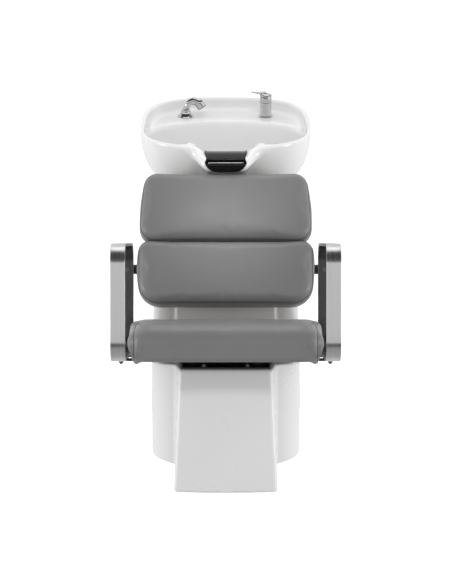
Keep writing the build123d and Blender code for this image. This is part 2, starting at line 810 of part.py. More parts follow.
with BuildPart() as neck_rest:
    with BuildSketch(Plane.YZ.offset(-PAD_HALF)):
        with BuildLine():
            under = Spline([beside(lip_line, s, PAD_SKIN) for s in pad_shares])
            over = Spline([beside(lip_line, s, PAD_SKIN + PAD) for s in pad_shares])
            Line(under @ 0, over @ 0)
            Line(under @ 1, over @ 1)
        make_face()
    extrude(amount=2 * PAD_HALF)
save(neck_rest, "neck_rest")

# ---- waste -----------------------------------------------------------------------------

CRADLE = 6
CRADLE_TOP = -244
WASTE_RADIUS = 20
WASTE_END = -300

with BuildPart(BOWL) as drain_flange:
    with Locations((0, DRAIN_V, BASIN_FLOOR)):
        Cylinder(38, 3, align=MIN_Z)
        Cylinder(25, BASIN_FLOOR - CRADLE_TOP + CRADLE + 12, align=MAX_Z)
    with Locations((0, DRAIN_V, CRADLE_TOP)):
        Cylinder(17, 200, mode=Mode.SUBTRACT)
    with Locations((0, DRAIN_V, BASIN_FLOOR + 3)):
        Cylinder(21, 6, align=MAX_Z, mode=Mode.SUBTRACT)
save(drain_flange, "drain_flange")

with BuildPart(BOWL) as drain_nut:
    with Locations((0, DRAIN_V, CRADLE_TOP - CRADLE)):
        Cylinder(36, 9, align=MAX_Z)
        Cylinder(25, 40, mode=Mode.SUBTRACT)
save(drain_nut, "drain_nut")

with BuildPart(BOWL) as waste_spigot:
    with Locations((0, DRAIN_V, CRADLE_TOP - CRADLE - 12)):
        Cylinder(WASTE_RADIUS, CRADLE_TOP - CRADLE - 12 - WASTE_END, align=MAX_Z)
        Cylinder(WASTE_RADIUS - 3, 200, mode=Mode.SUBTRACT)
save(waste_spigot, "waste_spigot")

with BuildPart(BOWL) as strainer:
    with Locations((0, DRAIN_V, BASIN_FLOOR - 3)):
        Cylinder(20.5, 2, align=MIN_Z)
        with PolarLocations(13, 10):
            Cylinder(2.4, 20, mode=Mode.SUBTRACT)
        Cylinder(2.5, 14, align=MIN_Z)
        with Locations((0, 0, 14)):
            Cylinder(6, 4, align=MIN_Z)
save(strainer, "strainer")

# ---- tilt hinge ------------------------------------------------------------------------

LUG_X = 65
LUG = 6
EAR_X = 74
EAR = 8
HINGE_PLATE_Y = 368  # middle of the plates that carry the hinge
WASTE_HOLE = (0, 362)
PIVOT_V = BOWL.to_local_coords(Vector(0, *PIVOT)).Y
PIVOT_W = BOWL.to_local_coords(Vector(0, *PIVOT)).Z

with BuildPart() as frame_top_plate:
    with BuildSketch(Plane.XY.offset(TILT_PLATE_Z)):
        with Locations((0, HINGE_PLATE_Y)):
            RectangleRounded(220, 120, 8)
        with Locations(WASTE_HOLE):
            Circle(42, mode=Mode.SUBTRACT)
    extrude(amount=PLATE)
save(frame_top_plate, "frame_top_plate")

with BuildPart() as tilt_bracket:
    with BuildSketch(Plane.XY.offset(TILT_PLATE_Z + PLATE)):
        with Locations((0, HINGE_PLATE_Y)):
            Rectangle(2 * EAR_X + EAR, 100)
        with Locations(WASTE_HOLE):
            Circle(42, mode=Mode.SUBTRACT)
    extrude(amount=5)
    for side in (-1, 1):
        with BuildSketch(Plane.YZ.offset(side * EAR_X - EAR / 2)):
            with BuildLine():
                Polyline(
                    (328, TILT_PLATE_Z + PLATE),
                    (418, TILT_PLATE_Z + PLATE),
                    (PIVOT[0] + 16, PIVOT[1] + 4),
                    (PIVOT[0] + 8, PIVOT[1] + 16),
                    (PIVOT[0] - 8, PIVOT[1] + 16),
                    (PIVOT[0] - 16, PIVOT[1] + 4),
                    close=True,
                )
            make_face()
            with Locations(PIVOT):
                Circle(PIN_RADIUS, mode=Mode.SUBTRACT)
        extrude(amount=EAR)
save(tilt_bracket, "tilt_bracket")

with BuildPart() as tilt_pins:
    for side in (-1, 1):
        with BuildSketch(Plane.YZ.offset(side * (LUG_X - LUG / 2 - 4))):
            with Locations(PIVOT):
                Circle(PIN_RADIUS)
        extrude(amount=side * (EAR_X + EAR / 2 + 5 - LUG_X + LUG / 2 + 4))
save(tilt_pins, "tilt_pins")

with BuildPart(BOWL) as tilt_cradle:
    with BuildSketch(BOWL.offset(CRADLE_TOP - CRADLE)):
        with Locations((0, 18)):
            RectangleRounded(160, 130, 20)
        with Locations((0, DRAIN_V)):
            Circle(28, mode=Mode.SUBTRACT)
    extrude(amount=CRADLE)
    for side in (-1, 1):
        with BuildSketch(BOWL_SIDE.offset(side * LUG_X - LUG / 2)):
            with BuildLine():
                Polyline(
                    (PIVOT_V - 34, CRADLE_TOP - CRADLE),
                    (PIVOT_V + 34, CRADLE_TOP - CRADLE),
                    (PIVOT_V + 12, PIVOT_W - 6),
                    (PIVOT_V + 6, PIVOT_W - 12),
                    (PIVOT_V - 6, PIVOT_W - 12),
                    (PIVOT_V - 12, PIVOT_W - 6),
                    close=True,
                )
            make_face()
            with Locations((PIVOT_V, PIVOT_W)):
                Circle(PIN_RADIUS + RUNNING, mode=Mode.SUBTRACT)
        extrude(amount=LUG)
save(tilt_cradle, "tilt_cradle")

# ---- mixer tap -------------------------------------------------------------------------

HUB_BASE = DECK + 48
HUB_TOP = DECK + 68
GAP = 0.4
MIXER = (TAP_X, TAP_V)
HINGE_X = TAP_X + 14
HINGE_W = HUB_TOP - 4
HINGE_RADIUS = 1.5
SHANK_END = DECK - DECK_THICK - 24
OUTLET_V = TAP_V + 7
INLET_V = TAP_V - 6
INLET_X = 7.5
INLET_BORE = 4.25
HOSE_TOP = -112


def bowl_point(u, v, w):
    """A point of the bowl's frame in the row."""
    return BOWL.from_local_coords((u, v, w))


def across(u, v, w):
    """A plane at that point of the bowl, looking to the rear: x to the right, y up."""
    return Plane(origin=bowl_point(u, v, w), x_dir=(1, 0, 0), z_dir=-BOWL.y_dir)


with BuildPart(BOWL) as mixer_base_ring:
    with Locations((*MIXER, DECK)):
        Cylinder(22.5, 5, align=MIN_Z)
        Cylinder(16, 20, mode=Mode.SUBTRACT)
save(mixer_base_ring, "mixer_base_ring")

with BuildPart(BOWL) as mixer_body:
    with Locations((*MIXER, DECK + 5)):
        Cylinder(19, HUB_BASE - DECK - 5, align=MIN_Z)
    with Locations((*MIXER, SHANK_END)):
        Cylinder(16, DECK + 5 - SHANK_END, align=MIN_Z)
    with Locations((TAP_X - INLET_X, INLET_V, SHANK_END), (TAP_X + INLET_X, INLET_V, SHANK_END)):
        Cylinder(INLET_BORE, 24, mode=Mode.SUBTRACT)
    with Locations((TAP_X, OUTLET_V, SHANK_END)):
        Cylinder(5, 24, mode=Mode.SUBTRACT)
save(mixer_body, "mixer_body")

with BuildPart(BOWL) as mixer_nut:
    with Locations((*MIXER, DECK - DECK_THICK)):
        Cylinder(24, 8, align=MAX_Z)
        Cylinder(16, 40, mode=Mode.SUBTRACT)
save(mixer_nut, "mixer_nut")

with BuildPart(BOWL) as mixer_outlet:
    with Locations((TAP_X, OUTLET_V, SHANK_END + 12)):
        Cylinder(5, 14, align=MAX_Z)
    with Locations((TAP_X, OUTLET_V, SHANK_END)):
        Cylinder(8, SHANK_END - HOSE_TOP, align=MAX_Z)
    with Locations((TAP_X, OUTLET_V, SHANK_END)):
        Cylinder(3.5, 80, mode=Mode.SUBTRACT)
save(mixer_outlet, "mixer_outlet")

with BuildPart(BOWL) as mixer_hub:
    with Locations((*MIXER, HUB_BASE + GAP)):
        Cylinder(18.5, HUB_TOP - HUB_BASE - GAP, align=MIN_Z)
    with Locations((TAP_X + 8, TAP_V, HUB_TOP - 9)):
        Box(20, 12, 20, align=(Align.MIN, Align.CENTER, Align.MIN), mode=Mode.SUBTRACT)
    with BuildSketch(across(HINGE_X, TAP_V, HINGE_W)):
        Circle(HINGE_RADIUS)
    extrude(amount=9.5, both=True, mode=Mode.SUBTRACT)
save(mixer_hub, "mixer_hub")

with BuildPart() as mixer_hinge_pin:
    with BuildSketch(across(HINGE_X, TAP_V, HINGE_W)):
        Circle(HINGE_RADIUS)
    extrude(amount=9.5, both=True)
save(mixer_hinge_pin, "mixer_hinge_pin")

with BuildPart(BOWL) as mixer_lever:
    with Locations((*MIXER, HUB_TOP + GAP)):
        Cylinder(17, 10, align=MIN_Z)
    fillet(mixer_lever.edges().group_by(BOWL.location.z_axis)[-1], 4)
    # room under the cap's hinged side, so that it can tip
    with Locations((TAP_X + 8, TAP_V, HUB_TOP)):
        Box(20, 40, 3, align=(Align.MIN, Align.CENTER, Align.MIN), mode=Mode.SUBTRACT)
    with Locations((TAP_X - 12, TAP_V, HUB_TOP + 3)):
        Box(34, 10, 3, align=(Align.MAX, Align.CENTER, Align.MIN))
    with Locations((TAP_X - 46, TAP_V, HUB_TOP + 3)):
        Cylinder(6, 3, align=MIN_Z)
    with BuildSketch(across(HINGE_X, TAP_V, HINGE_W)):
        Circle(4)
        with Locations((0, 0)):
            Rectangle(6, 8, align=(Align.CENTER, Align.MIN))
    extrude(amount=5.5, both=True)
    with BuildSketch(across(HINGE_X, TAP_V, HINGE_W)):
        Circle(HINGE_RADIUS + RUNNING)
    extrude(amount=30, both=True, mode=Mode.SUBTRACT)
save(mixer_lever, "mixer_lever")

# ---- hand shower -----------------------------------------------------------------------

SHOWER = (-TAP_X, TAP_V)
HOLDER_TOP = DECK + 24
STEM = 8
NECK_START = DECK + 26
STEM_BOTTOM = DECK - DECK_THICK - 8
FACE_AT = (51, DECK + 29)  # middle of the spray face, from the holder's axis
FACE_TURN = 32  # how far the spray face looks aside from straight down

with BuildPart(BOWL) as shower_holder:
    with Locations((*SHOWER, DECK)):
        Cylinder(26, 4, align=MIN_Z)
        Cylinder(14, DECK_THICK + 14, align=MAX_Z)
    with Locations((*SHOWER, DECK + 4)):
        Cone(20, 13.5, HOLDER_TOP - DECK - 8, align=MIN_Z)
    with Locations((*SHOWER, HOLDER_TOP - 4)):
        Cylinder(13.5, 4, align=MIN_Z)
    with Locations((*SHOWER, DECK)):
        Cylinder(STEM + RUNNING, 200, mode=Mode.SUBTRACT)
save(shower_holder, "shower_holder")

with BuildPart(BOWL) as shower_holder_nut:
    with Locations((*SHOWER, DECK - DECK_THICK)):
        Cylinder(20, 8, align=MAX_Z)
        Cylinder(14, 40, mode=Mode.SUBTRACT)
save(shower_holder_nut, "shower_holder_nut")

shower_plane = across(*SHOWER, 0)
face_plane = Plane(
    origin=shower_plane.from_local_coords((*FACE_AT, 0)),
    x_dir=-BOWL.y_dir,
    z_dir=shower_plane.from_local_coords(
        (sin(radians(FACE_TURN)), -cos(radians(FACE_TURN)), 0)
    ) - shower_plane.origin,
)

with BuildPart() as shower_handle:
    with BuildLine(shower_plane) as neck_line:
        Spline(
            (0, NECK_START),
            (4, DECK + 38),
            (18, DECK + 51),
            (34, DECK + 47),
            tangents=((0, 1), (0.9, -0.6)),
        )
    with BuildSketch(Plane(origin=neck_line.line @ 0, x_dir=(1, 0, 0), z_dir=neck_line.line % 0)):
        Circle(STEM)
    sweep()
    with Locations(BOWL):
        with Locations((*SHOWER, STEM_BOTTOM)):
            Cylinder(STEM, NECK_START - STEM_BOTTOM, align=MIN_Z)
    with Locations(face_plane.offset(-4)):
        Cylinder(14, 14.5, align=MAX_Z)
    with Locations(face_plane.offset(-18.5)):
        Sphere(14)
save(shower_handle, "shower_handle")

with BuildPart() as shower_face:
    with Locations(face_plane):
        Cylinder(15, 4, align=MAX_Z)
        with PolarLocations(9, 8):
            Cylinder(1.2, 1.5, align=MIN_Z)
save(shower_face, "shower_face")

# ---- spray hose, from the mixer's outlet to the hand shower ------------------------------

HOSE_BEND = 70
HOSE_LOW = -296
HOSE_BACK = 72  # how far behind the bowl's middle the loop's lowest stretch lies
RISER_BOTTOM = -130

with BuildPart(BOWL) as spray_hose_riser:
    with Locations((*SHOWER, STEM_BOTTOM)):
        Cylinder(HOSE_RADIUS, STEM_BOTTOM - RISER_BOTTOM, align=MAX_Z)
save(spray_hose_riser, "spray_hose_riser")

with BuildPart() as spray_hose:
    with BuildLine() as route:
        FilletPolyline(
            bowl_point(*SHOWER, RISER_BOTTOM - 0.4),
            bowl_point(*SHOWER, RISER_BOTTOM - 26),
            bowl_point(-TAP_X, HOSE_BACK, HOSE_LOW),
            bowl_point(TAP_X, HOSE_BACK, HOSE_LOW),
            bowl_point(TAP_X, OUTLET_V, RISER_BOTTOM - 26),
            bowl_point(TAP_X, OUTLET_V, HOSE_TOP),
            radius=HOSE_BEND,
        )
    with BuildSketch(Plane(origin=route.line @ 0, x_dir=(1, 0, 0), z_dir=route.line % 0)):
        Circle(HOSE_RADIUS)
    sweep()
save(spray_hose, "spray_hose")

hose_length = sum(edge.length for edge in route.edges())
tube_volume = pi * HOSE_RADIUS**2 * hose_length
print("spray hose length", round(hose_length, 1), "bend", HOSE_BEND)
print("volume over section x length", round(spray_hose.part.volume / tube_volume, 4))
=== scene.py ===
"""Looks of the shampoo backwash unit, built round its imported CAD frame.

Metres, in the row's frame: +Z up, the sitter faces -Y. The rounded pieces are modelled as
distance fields and skinned; turned and bent pieces are lofted from rings.
"""

import json
import math

import bmesh
import bpy
import numpy as np
import openvdb
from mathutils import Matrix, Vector
from mathutils.bvhtree import BVHTree


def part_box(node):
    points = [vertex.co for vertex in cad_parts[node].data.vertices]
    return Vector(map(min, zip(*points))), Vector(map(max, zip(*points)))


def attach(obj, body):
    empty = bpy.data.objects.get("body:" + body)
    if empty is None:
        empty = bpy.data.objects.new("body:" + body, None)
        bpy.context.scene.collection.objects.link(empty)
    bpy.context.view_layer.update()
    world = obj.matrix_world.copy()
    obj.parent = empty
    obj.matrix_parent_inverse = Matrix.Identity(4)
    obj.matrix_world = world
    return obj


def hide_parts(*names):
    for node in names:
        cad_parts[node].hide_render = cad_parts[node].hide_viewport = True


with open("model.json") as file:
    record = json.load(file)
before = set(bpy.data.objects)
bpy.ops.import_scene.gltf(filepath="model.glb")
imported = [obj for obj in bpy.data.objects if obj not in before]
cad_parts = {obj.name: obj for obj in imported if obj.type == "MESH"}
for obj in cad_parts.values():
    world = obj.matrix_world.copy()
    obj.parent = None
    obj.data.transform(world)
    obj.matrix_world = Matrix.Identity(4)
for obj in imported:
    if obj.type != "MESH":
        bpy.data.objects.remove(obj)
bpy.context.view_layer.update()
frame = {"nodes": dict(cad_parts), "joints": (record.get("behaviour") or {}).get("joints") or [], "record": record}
NODES = frame["nodes"]
JOINTS = {joint["name"]: joint for joint in frame["joints"]}
MM = 0.001


# ---- frames ----


class Place:
    """A frame of its own: an origin and three unit directions in the row's frame."""

    def __init__(self, origin, ex, ey, ez):
        self.origin = np.array(origin, float)
        self.axes = np.array([ex, ey, ez], float)

    def out(self, points):
        """Points of this frame, in the row's frame."""
        return self.origin + np.asarray(points, float) @ self.axes

    def into(self, points):
        """The row's points, in this frame."""
        return (points - self.origin) @ self.axes.T

    def at(self, x, y, z):
        return Place(self.out([x, y, z]), *self.axes)


def leaned(y, z, degrees):
    """A frame turned about the row's x: its y runs back and down by that angle."""
    c = math.cos(math.radians(degrees))
    s = math.sin(math.radians(degrees))
    return Place((0, y, z), (1, 0, 0), (0, c, -s), (0, s, c))


SEAT_TILT = 8.3
SEAT_RUN = 0.43
BACK_JOINT = (-0.075, 0.624)  # where the two back cushions' faces meet, in y and z

seat_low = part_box("seat_cushion")[0]
SEAT = leaned(seat_low.y, seat_low.z + SEAT_RUN * math.sin(math.radians(SEAT_TILT)), SEAT_TILT)
# a back cushion's y runs up the back, and its z out of its face
LOWER = leaned(*BACK_JOINT, 25.5 - 90)
UPPER = leaned(*BACK_JOINT, 28.5 - 90)

tap_axis = np.array(JOINTS["mixer_turn"]["axis"], float)
rearward = np.array(JOINTS["mixer_lift"]["axis"], float)
MIXER_AT = (0.125, 0.155, -0.037)  # where the mixer's axis meets the deck, in the bowl's frame
TURN_HEIGHT = 0.053  # the mixer's turning joint over the deck: 5 mm up inside its hub
mixer_pos = np.array(JOINTS["mixer_turn"]["pos_m"], float)
joint_at = np.array([MIXER_AT[0], MIXER_AT[1], MIXER_AT[2] + TURN_HEIGHT])
bowl_origin = mixer_pos - joint_at @ np.array([(1, 0, 0), rearward, tap_axis])
BOWL = Place(bowl_origin, (1, 0, 0), rearward, tap_axis)


# ---- materials ----


class Nodes:
    """A node tree under construction."""

    def __init__(self, tree):
        self.tree = tree

    def node(self, kind, inputs=(), **settings):
        """A new node, its inputs linked where the value is a socket and set where it isn't."""
        made = self.tree.nodes.new(kind)
        for key, value in settings.items():
            setattr(made, key, value)
        for key, value in dict(inputs).items():
            if isinstance(value, bpy.types.NodeSocket):
                self.link(value, made.inputs[key])
            else:
                made.inputs[key].default_value = value
        return made

    def link(self, source, target):
        self.tree.links.new(source, target)

    def ranged(self, value, low, high, start=0.3, end=0.7):
        """A value brought from start...end to low...high."""
        ends = {"Value": value, "From Min": start, "From Max": end, "To Min": low, "To Max": high}
        return self.node("ShaderNodeMapRange", ends).outputs["Result"]


class Shader(Nodes):
    """A material under construction, with short names for the nodes it uses."""

    def __init__(self, name):
        self.material = bpy.data.materials.new(name)
        self.material.use_nodes = True
        super().__init__(self.material.node_tree)
        self.surface = self.tree.nodes["Principled BSDF"]
        self.where = self.node("ShaderNodeTexCoord").outputs["Object"]

    def stretched(self, x, y, z):
        """Object coordinates scaled apart, so that a noise runs along one direction."""
        return self.node(
            "ShaderNodeMapping", {"Vector": self.where, "Scale": (x, y, z)}).outputs["Vector"]

    def noise(self, scale, detail=2.0, roughness=0.5, vector=None):
        inputs = {"Vector": vector or self.where, "Scale": scale, "Detail": detail,
                  "Roughness": roughness}
        return self.node("ShaderNodeTexNoise", inputs).outputs["Fac"]

    def cells(self, scale, feature="DISTANCE_TO_EDGE"):
        inputs = {"Vector": self.where, "Scale": scale}
        return self.node("ShaderNodeTexVoronoi", inputs, feature=feature).outputs["Distance"]

    def tint(self, value, first, second):
        """Base colour, between two colours by a value."""
        colours = {"Factor": value, 6: (*first, 1), 7: (*second, 1)}
        made = self.node("ShaderNodeMix", data_type="RGBA", inputs=colours)
        self.link(made.outputs[2], self.surface.inputs["Base Color"])

    def bump(self, height, strength, distance, below=None):
        inputs = {"Height": height, "Strength": strength, "Distance": distance}
        if below is not None:
            inputs["Normal"] = below
        normal = self.node("ShaderNodeBump", inputs).outputs["Normal"]
        self.link(normal, self.surface.inputs["Normal"])
        return normal

    def rough(self, value, low, high, start=0.3, end=0.7):
        """Roughness, between two values by a value."""
        self.link(self.ranged(value, low, high, start, end), self.surface.inputs["Roughness"])

    def set(self, **values):
        names = {
            "rough": "Roughness",
            "metal": "Metallic",
            "coat": "Coat Weight",
            "coat_rough": "Coat Roughness",
            "aniso": "Anisotropic",
            "sheen": "Sheen Weight",
            "spec": "Specular IOR Level",
        }
        for key, value in values.items():
            self.surface.inputs[names[key]].default_value = value


def grey(level):
    return (level, level, level)


def fibreglass():
    """White gelcoat: a faint orange peel and slightly uneven gloss."""
    s = Shader("fibreglass")
    s.tint(s.ranged(s.noise(3.0), 0, 1), grey(0.77), grey(0.80))
    s.rough(s.noise(14.0, 4), 0.26, 0.34)
    s.bump(s.noise(110.0, 2), 0.05, 0.0006)
    s.set(coat=0.25, coat_rough=0.18)
    return s.material


def glaze():
    """White glazed ceramic: deep gloss over a hardly uneven body."""
    s = Shader("glaze")
    s.tint(s.ranged(s.noise(4.0), 0, 1), (0.84, 0.84, 0.835), (0.87, 0.87, 0.87))
    s.rough(s.noise(9.0, 3), 0.05, 0.10)
    s.bump(s.noise(16.0, 1), 0.08, 0.0012)
    s.set(coat=0.6, coat_rough=0.04)
    return s.material


def vinyl(name="vinyl", level=0.190):
    """Grey upholstery vinyl: fine pebbled grain with pores and a soft sheen."""
    s = Shader(name)
    broad = s.noise(7.0, 3)
    s.tint(s.ranged(broad, 0, 1), grey(level * 0.96), grey(level * 1.04))
    s.rough(s.noise(26.0, 3), 0.38, 0.48)
    grain = s.bump(s.cells(620.0), 0.16, 0.0006)
    s.bump(s.noise(150.0, 3), 0.10, 0.0008, below=grain)
    s.set(spec=0.62, sheen=0.05)
    return s.material


def brushed(name, direction):
    """Brushed steel with its fine lines along one direction."""
    s = Shader(name)
    lines = s.noise(1.0, 3, 0.6, vector=s.stretched(*direction))
    s.tint(s.ranged(lines, 0, 1), grey(0.50), grey(0.60))
    s.rough(lines, 0.24, 0.38)
    s.bump(lines, 0.10, 0.0004)
    s.set(metal=1.0, aniso=0.5)
    return s.material


def dark_reflection_steel():
    """The arm bar's inner side, in dark steel: a painted dark reflection and painted shade inside the loop."""
    s = Shader("dark_reflection_steel")
    cloud = s.noise(18.0, 4)
    s.tint(s.ranged(cloud, 0, 1), grey(0.09), grey(0.13))
    s.rough(cloud, 0.34, 0.46)
    s.bump(s.noise(300.0, 2), 0.06, 0.0004)
    s.set(metal=0.9)
    return s.material


def polished(name="chrome", level=0.60, rough=(0.03, 0.08)):
    """Bare or plated metal with faint smudges."""
    s = Shader(name)
    smudge = s.noise(45.0, 4, 0.6)
    s.tint(s.ranged(smudge, 0, 1), grey(level), grey(level * 1.05))
    s.rough(smudge, *rough)
    s.bump(s.noise(70.0, 1), 0.03, 0.0005)
    s.set(metal=1.0)
    return s.material


def powder(name, colour, rough=(0.38, 0.5)):
    """Powder coat or paint with a fine texture."""
    s = Shader(name)
    s.tint(s.ranged(s.noise(12.0, 3), 0, 1), colour, tuple(c * 1.25 for c in colour))
    s.rough(s.noise(40.0, 2), *rough)
    s.bump(s.noise(900.0, 2), 0.12, 0.0004)
    return s.material


def silicone():
    """Glossy black silicone."""
    s = Shader("silicone")
    s.tint(s.ranged(s.noise(9.0, 2), 0, 1), grey(0.003), grey(0.006))
    s.rough(s.noise(30.0, 3), 0.10, 0.18)
    s.bump(s.noise(55.0, 2), 0.05, 0.0008)
    s.set(spec=0.22, coat=0.12, coat_rough=0.06)
    return s.material


def plywood():
    """Birch board with drawn-out rings."""
    s = Shader("plywood")
    rings = s.noise(6.0, 5, 0.65, vector=s.stretched(1.0, 9.0, 30.0))
    s.tint(s.ranged(rings, 0, 1), (0.45, 0.30, 0.17), (0.62, 0.46, 0.29))
    s.rough(rings, 0.55, 0.75)
    s.bump(rings, 0.2, 0.0008)
    return s.material


def braided():
    """Woven steel sleeve of a shower hose."""
    s = Shader("braided_hose")
    weave = s.cells(420.0, "F1")
    s.tint(s.ranged(weave, 0, 1, 0.0, 0.5), grey(0.62), grey(0.22))
    s.rough(weave, 0.22, 0.45, 0.0, 0.5)
    s.bump(weave, 0.5, 0.0008)
    s.set(metal=1.0)
    return s.material


def studio_floor():
    """A pale floor that glows a little, so that it meets the backdrop without an edge."""
    s = Shader("studio_floor")
    s.tint(s.ranged(s.noise(0.8, 2), 0, 1), grey(0.93), grey(0.95))
    s.set(rough=0.6, spec=0.2)
    s.surface.inputs["Emission Color"].default_value = (1, 1, 1, 1)
    s.surface.inputs["Emission Strength"].default_value = 0.50
    return s.material


MATERIALS = {
    "fibreglass": fibreglass(),
    "glaze": glaze(),
    "silicone": silicone(),
    "vinyl": vinyl(),
    # the same vinyl, much darker, for the sewn edges: painted shade of the seam's groove
    "seam_shade_vinyl": vinyl("seam_shade_vinyl", 0.06),
    "plywood": plywood(),
    "brushed": brushed("brushed", (900, 4, 4)),
    # dark steel for the arm bars' inner faces: painted dark reflection and shade
    "dark_reflection_steel": dark_reflection_steel(),
    "black_steel": powder("black_steel", grey(0.016)),
    "grey_steel": powder("grey_steel", (0.10, 0.11, 0.12)),
    "chrome": polished(),
    "zinc": polished("zinc", 0.17, (0.34, 0.46)),
    "brass": polished("brass", 0.5, (0.2, 0.3)),
    "black_plastic": powder("black_plastic", grey(0.02), (0.3, 0.42)),
    "white_plastic": powder("white_plastic", grey(0.75), (0.3, 0.4)),
    "hose": braided(),
    "studio_floor": studio_floor(),
}

for part in frame["record"]["subparts"]:
    node = NODES[part["node"]]
    node.data.materials.clear()
    node.data.materials.append(MATERIALS[part["material_slot"]])


# ---- meshes ----


def linked(name, data):
    """A new object in the scene."""
    made = bpy.data.objects.new(name, data)
    bpy.context.scene.collection.objects.link(made)
    return made


def mesh_object(name, points, faces, material, smooth=True):
    """A mesh from points of the row's frame, its faces turned outwards."""
    mesh = bpy.data.meshes.new(name)
    mesh.from_pydata([tuple(p) for p in points], [], [tuple(int(i) for i in f) for f in faces])
    mesh.validate()
    mesh.update()
    shape = bmesh.new()
    shape.from_mesh(mesh)
    bmesh.ops.recalc_face_normals(shape, faces=shape.faces)
    shape.to_mesh(mesh)
    shape.free()
    if smooth:
        mesh.polygons.foreach_set("use_smooth", [True] * len(mesh.polygons))
    mesh.materials.append(MATERIALS[material])
    return linked(name, mesh)


def place(made, body, replaced=()):
    """Hangs a finished piece on its CAD body and hides the CAD parts it stands for."""
    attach(made, body)
    if replaced:
        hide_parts(*replaced)


def smooth_min(a, b, k):
    """The lesser of two distances, blended over k."""
    h = np.clip(0.5 + 0.5 * (b - a) / k, 0, 1)
    return b * (1 - h) + a * h - k * h * (1 - h)


def smooth_max(a, b, k):
    return -smooth_min(-a, -b, k)


WAY_BACK = 0.96  # how much of each evening-out step is taken back, so that nothing shrinks
BAND = 4  # how many steps from the surface the distance field is kept
MARGIN = 2  # empty steps round the field


def relax(points, quads, rounds, amount=0.5):
    """Evens out a skin: points move to their neighbours' mean and most of the way back."""
    edges = np.concatenate([quads[:, [0, 1]], quads[:, [1, 2]], quads[:, [2, 3]], quads[:, [3, 0]]])
    count = np.bincount(edges[:, 0], minlength=len(points)).astype(float)
    count += np.bincount(edges[:, 1], minlength=len(points))
    for turn in range(2 * rounds):
        total = np.zeros_like(points)
        for axis in range(3):
            total[:, axis] = np.bincount(edges[:, 0], points[edges[:, 1], axis], len(points))
            total[:, axis] += np.bincount(edges[:, 1], points[edges[:, 0], axis], len(points))
        share = amount if turn % 2 == 0 else -amount * WAY_BACK
        points = points + share * (total / count[:, None] - points)
    return points


def skin(name, field, low, high, step, where, rounds, material):
    """A distance field's zero surface between two corners in where's frame, as a mesh."""
    axes = [np.arange(l, h + step, step, dtype=np.float32) for l, h in zip(low, high)]
    field = field(*np.meshgrid(*axes, indexing="ij", sparse=True))
    band = step * BAND
    grid = openvdb.FloatGrid(background=float(band))
    padded = np.pad(np.clip(field, -band, band), MARGIN, constant_values=band)
    grid.copyFromArray(padded.astype(np.float32))
    points, quads = grid.convertToQuads()
    points = (np.asarray(points, float) - MARGIN) * step + np.array(low, float)
    quads = np.asarray(quads, dtype=np.int64)
    points = relax(points, quads, rounds)
    return mesh_object(name, where.out(points), quads, material)


# ---- base ----

base_low, base_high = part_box("base_shell")
FOOT = base_low.y
COLUMN_HALF = base_high.x
NOSE = -0.091  # the axis of the column's half-round front
COLUMN_TOP = base_high.z
COLUMN_BACK = base_high.y
SPINE_Y, SPINE_Z = -0.050, 0.360  # a point of the spine's sloping front
SPINE_LEAN = math.atan2(200, 360)
SPINE_FLANK = 0.052  # radius of the spine's rounded flanks
REAR_CORNER = 0.07
LEG_RUN, LEG_RISE = 0.094, 0.34  # how far the leg's face leans back, over its height


def base_field(x, y, z):
    """Distance field of the base's outside as one full moulding."""
    # the leg: a bowed sloping face and sides that widen to the column
    share = z / LEG_RISE
    half = 0.1405 - 0.0155 * share
    front = FOOT + LEG_RUN * share + 0.012 * (1 - share / 2) * (x / 0.14) ** 2
    face = (front - y) * math.cos(math.atan2(LEG_RUN, LEG_RISE))
    along = np.clip((y - front) / (-0.23 - front), 0, 1.2)
    side = (np.abs(x) - (half + (0.146 - half) * along)) * 0.995
    leg = smooth_max(smooth_max(face, side, 0.009), y + 0.15, 0.004)
    # the column: half-round nose, straight sides, rounded rear
    nose = np.hypot(x, y - NOSE) - COLUMN_HALF
    rear = np.hypot(
        np.maximum(np.abs(x) - COLUMN_HALF + REAR_CORNER, 0),
        np.maximum(y - COLUMN_BACK + REAR_CORNER, 0),
    ) - REAR_CORNER
    rear = np.where(y > COLUMN_BACK - REAR_CORNER, rear, np.abs(x) - COLUMN_HALF)
    column = np.where(y < NOSE, nose, rear)
    # both cut off under the seat
    c = math.cos(math.radians(SEAT_TILT))
    s = math.sin(math.radians(SEAT_TILT))
    up = (z - SEAT.origin[2]) * c + (y - SEAT.origin[1]) * s + 0.024
    lower = smooth_max(smooth_min(leg, column, 0.005), up, 0.008)
    # the spine behind the seat: a sloping front with rounded flanks and a flat raised panel
    c = math.cos(SPINE_LEAN)
    s = math.sin(SPINE_LEAN)
    depth = (y - SPINE_Y) * c - (z - SPINE_Z) * s
    flank = np.hypot(
        np.maximum(np.abs(x) - COLUMN_HALF + SPINE_FLANK, 0), np.maximum(SPINE_FLANK - depth, 0)
    ) - SPINE_FLANK
    flank = np.where(depth > SPINE_FLANK, np.abs(x) - COLUMN_HALF, flank)
    flank = np.where(np.abs(x) < COLUMN_HALF - SPINE_FLANK, -depth, flank)
    panel = smooth_max(-depth - 0.010, np.abs(x) - 0.147, 0.006)
    spine = smooth_max(smooth_min(flank, panel, 0.004), column, 0.004)
    body = smooth_min(lower, smooth_max(spine, 0.13 - z, 0.004), 0.008)
    body = smooth_max(body, z - COLUMN_TOP, 0.006)
    return smooth_max(body, 0.001 - z, 0.002)


def open_base_field(x, y, z):
    """The base with its open top: the column's hollow, down past the tilt hinge."""
    hollow = base_field(x, y, np.minimum(z, COLUMN_TOP - 0.03)) + 0.006
    return smooth_max(base_field(x, y, z), -np.maximum(hollow, 0.55 - z), 0.004)


def build_base():
    row = Place((0, 0, 0), (1, 0, 0), (0, 1, 0), (0, 0, 1))
    made = skin("base_moulding", open_base_field, (-0.225, FOOT - 0.015, -0.005),
                (0.225, COLUMN_BACK + 0.015, COLUMN_TOP + 0.012), 0.004, row, 4, "fibreglass")
    place(made, "base", ["base_shell"])


# ---- bowl ----


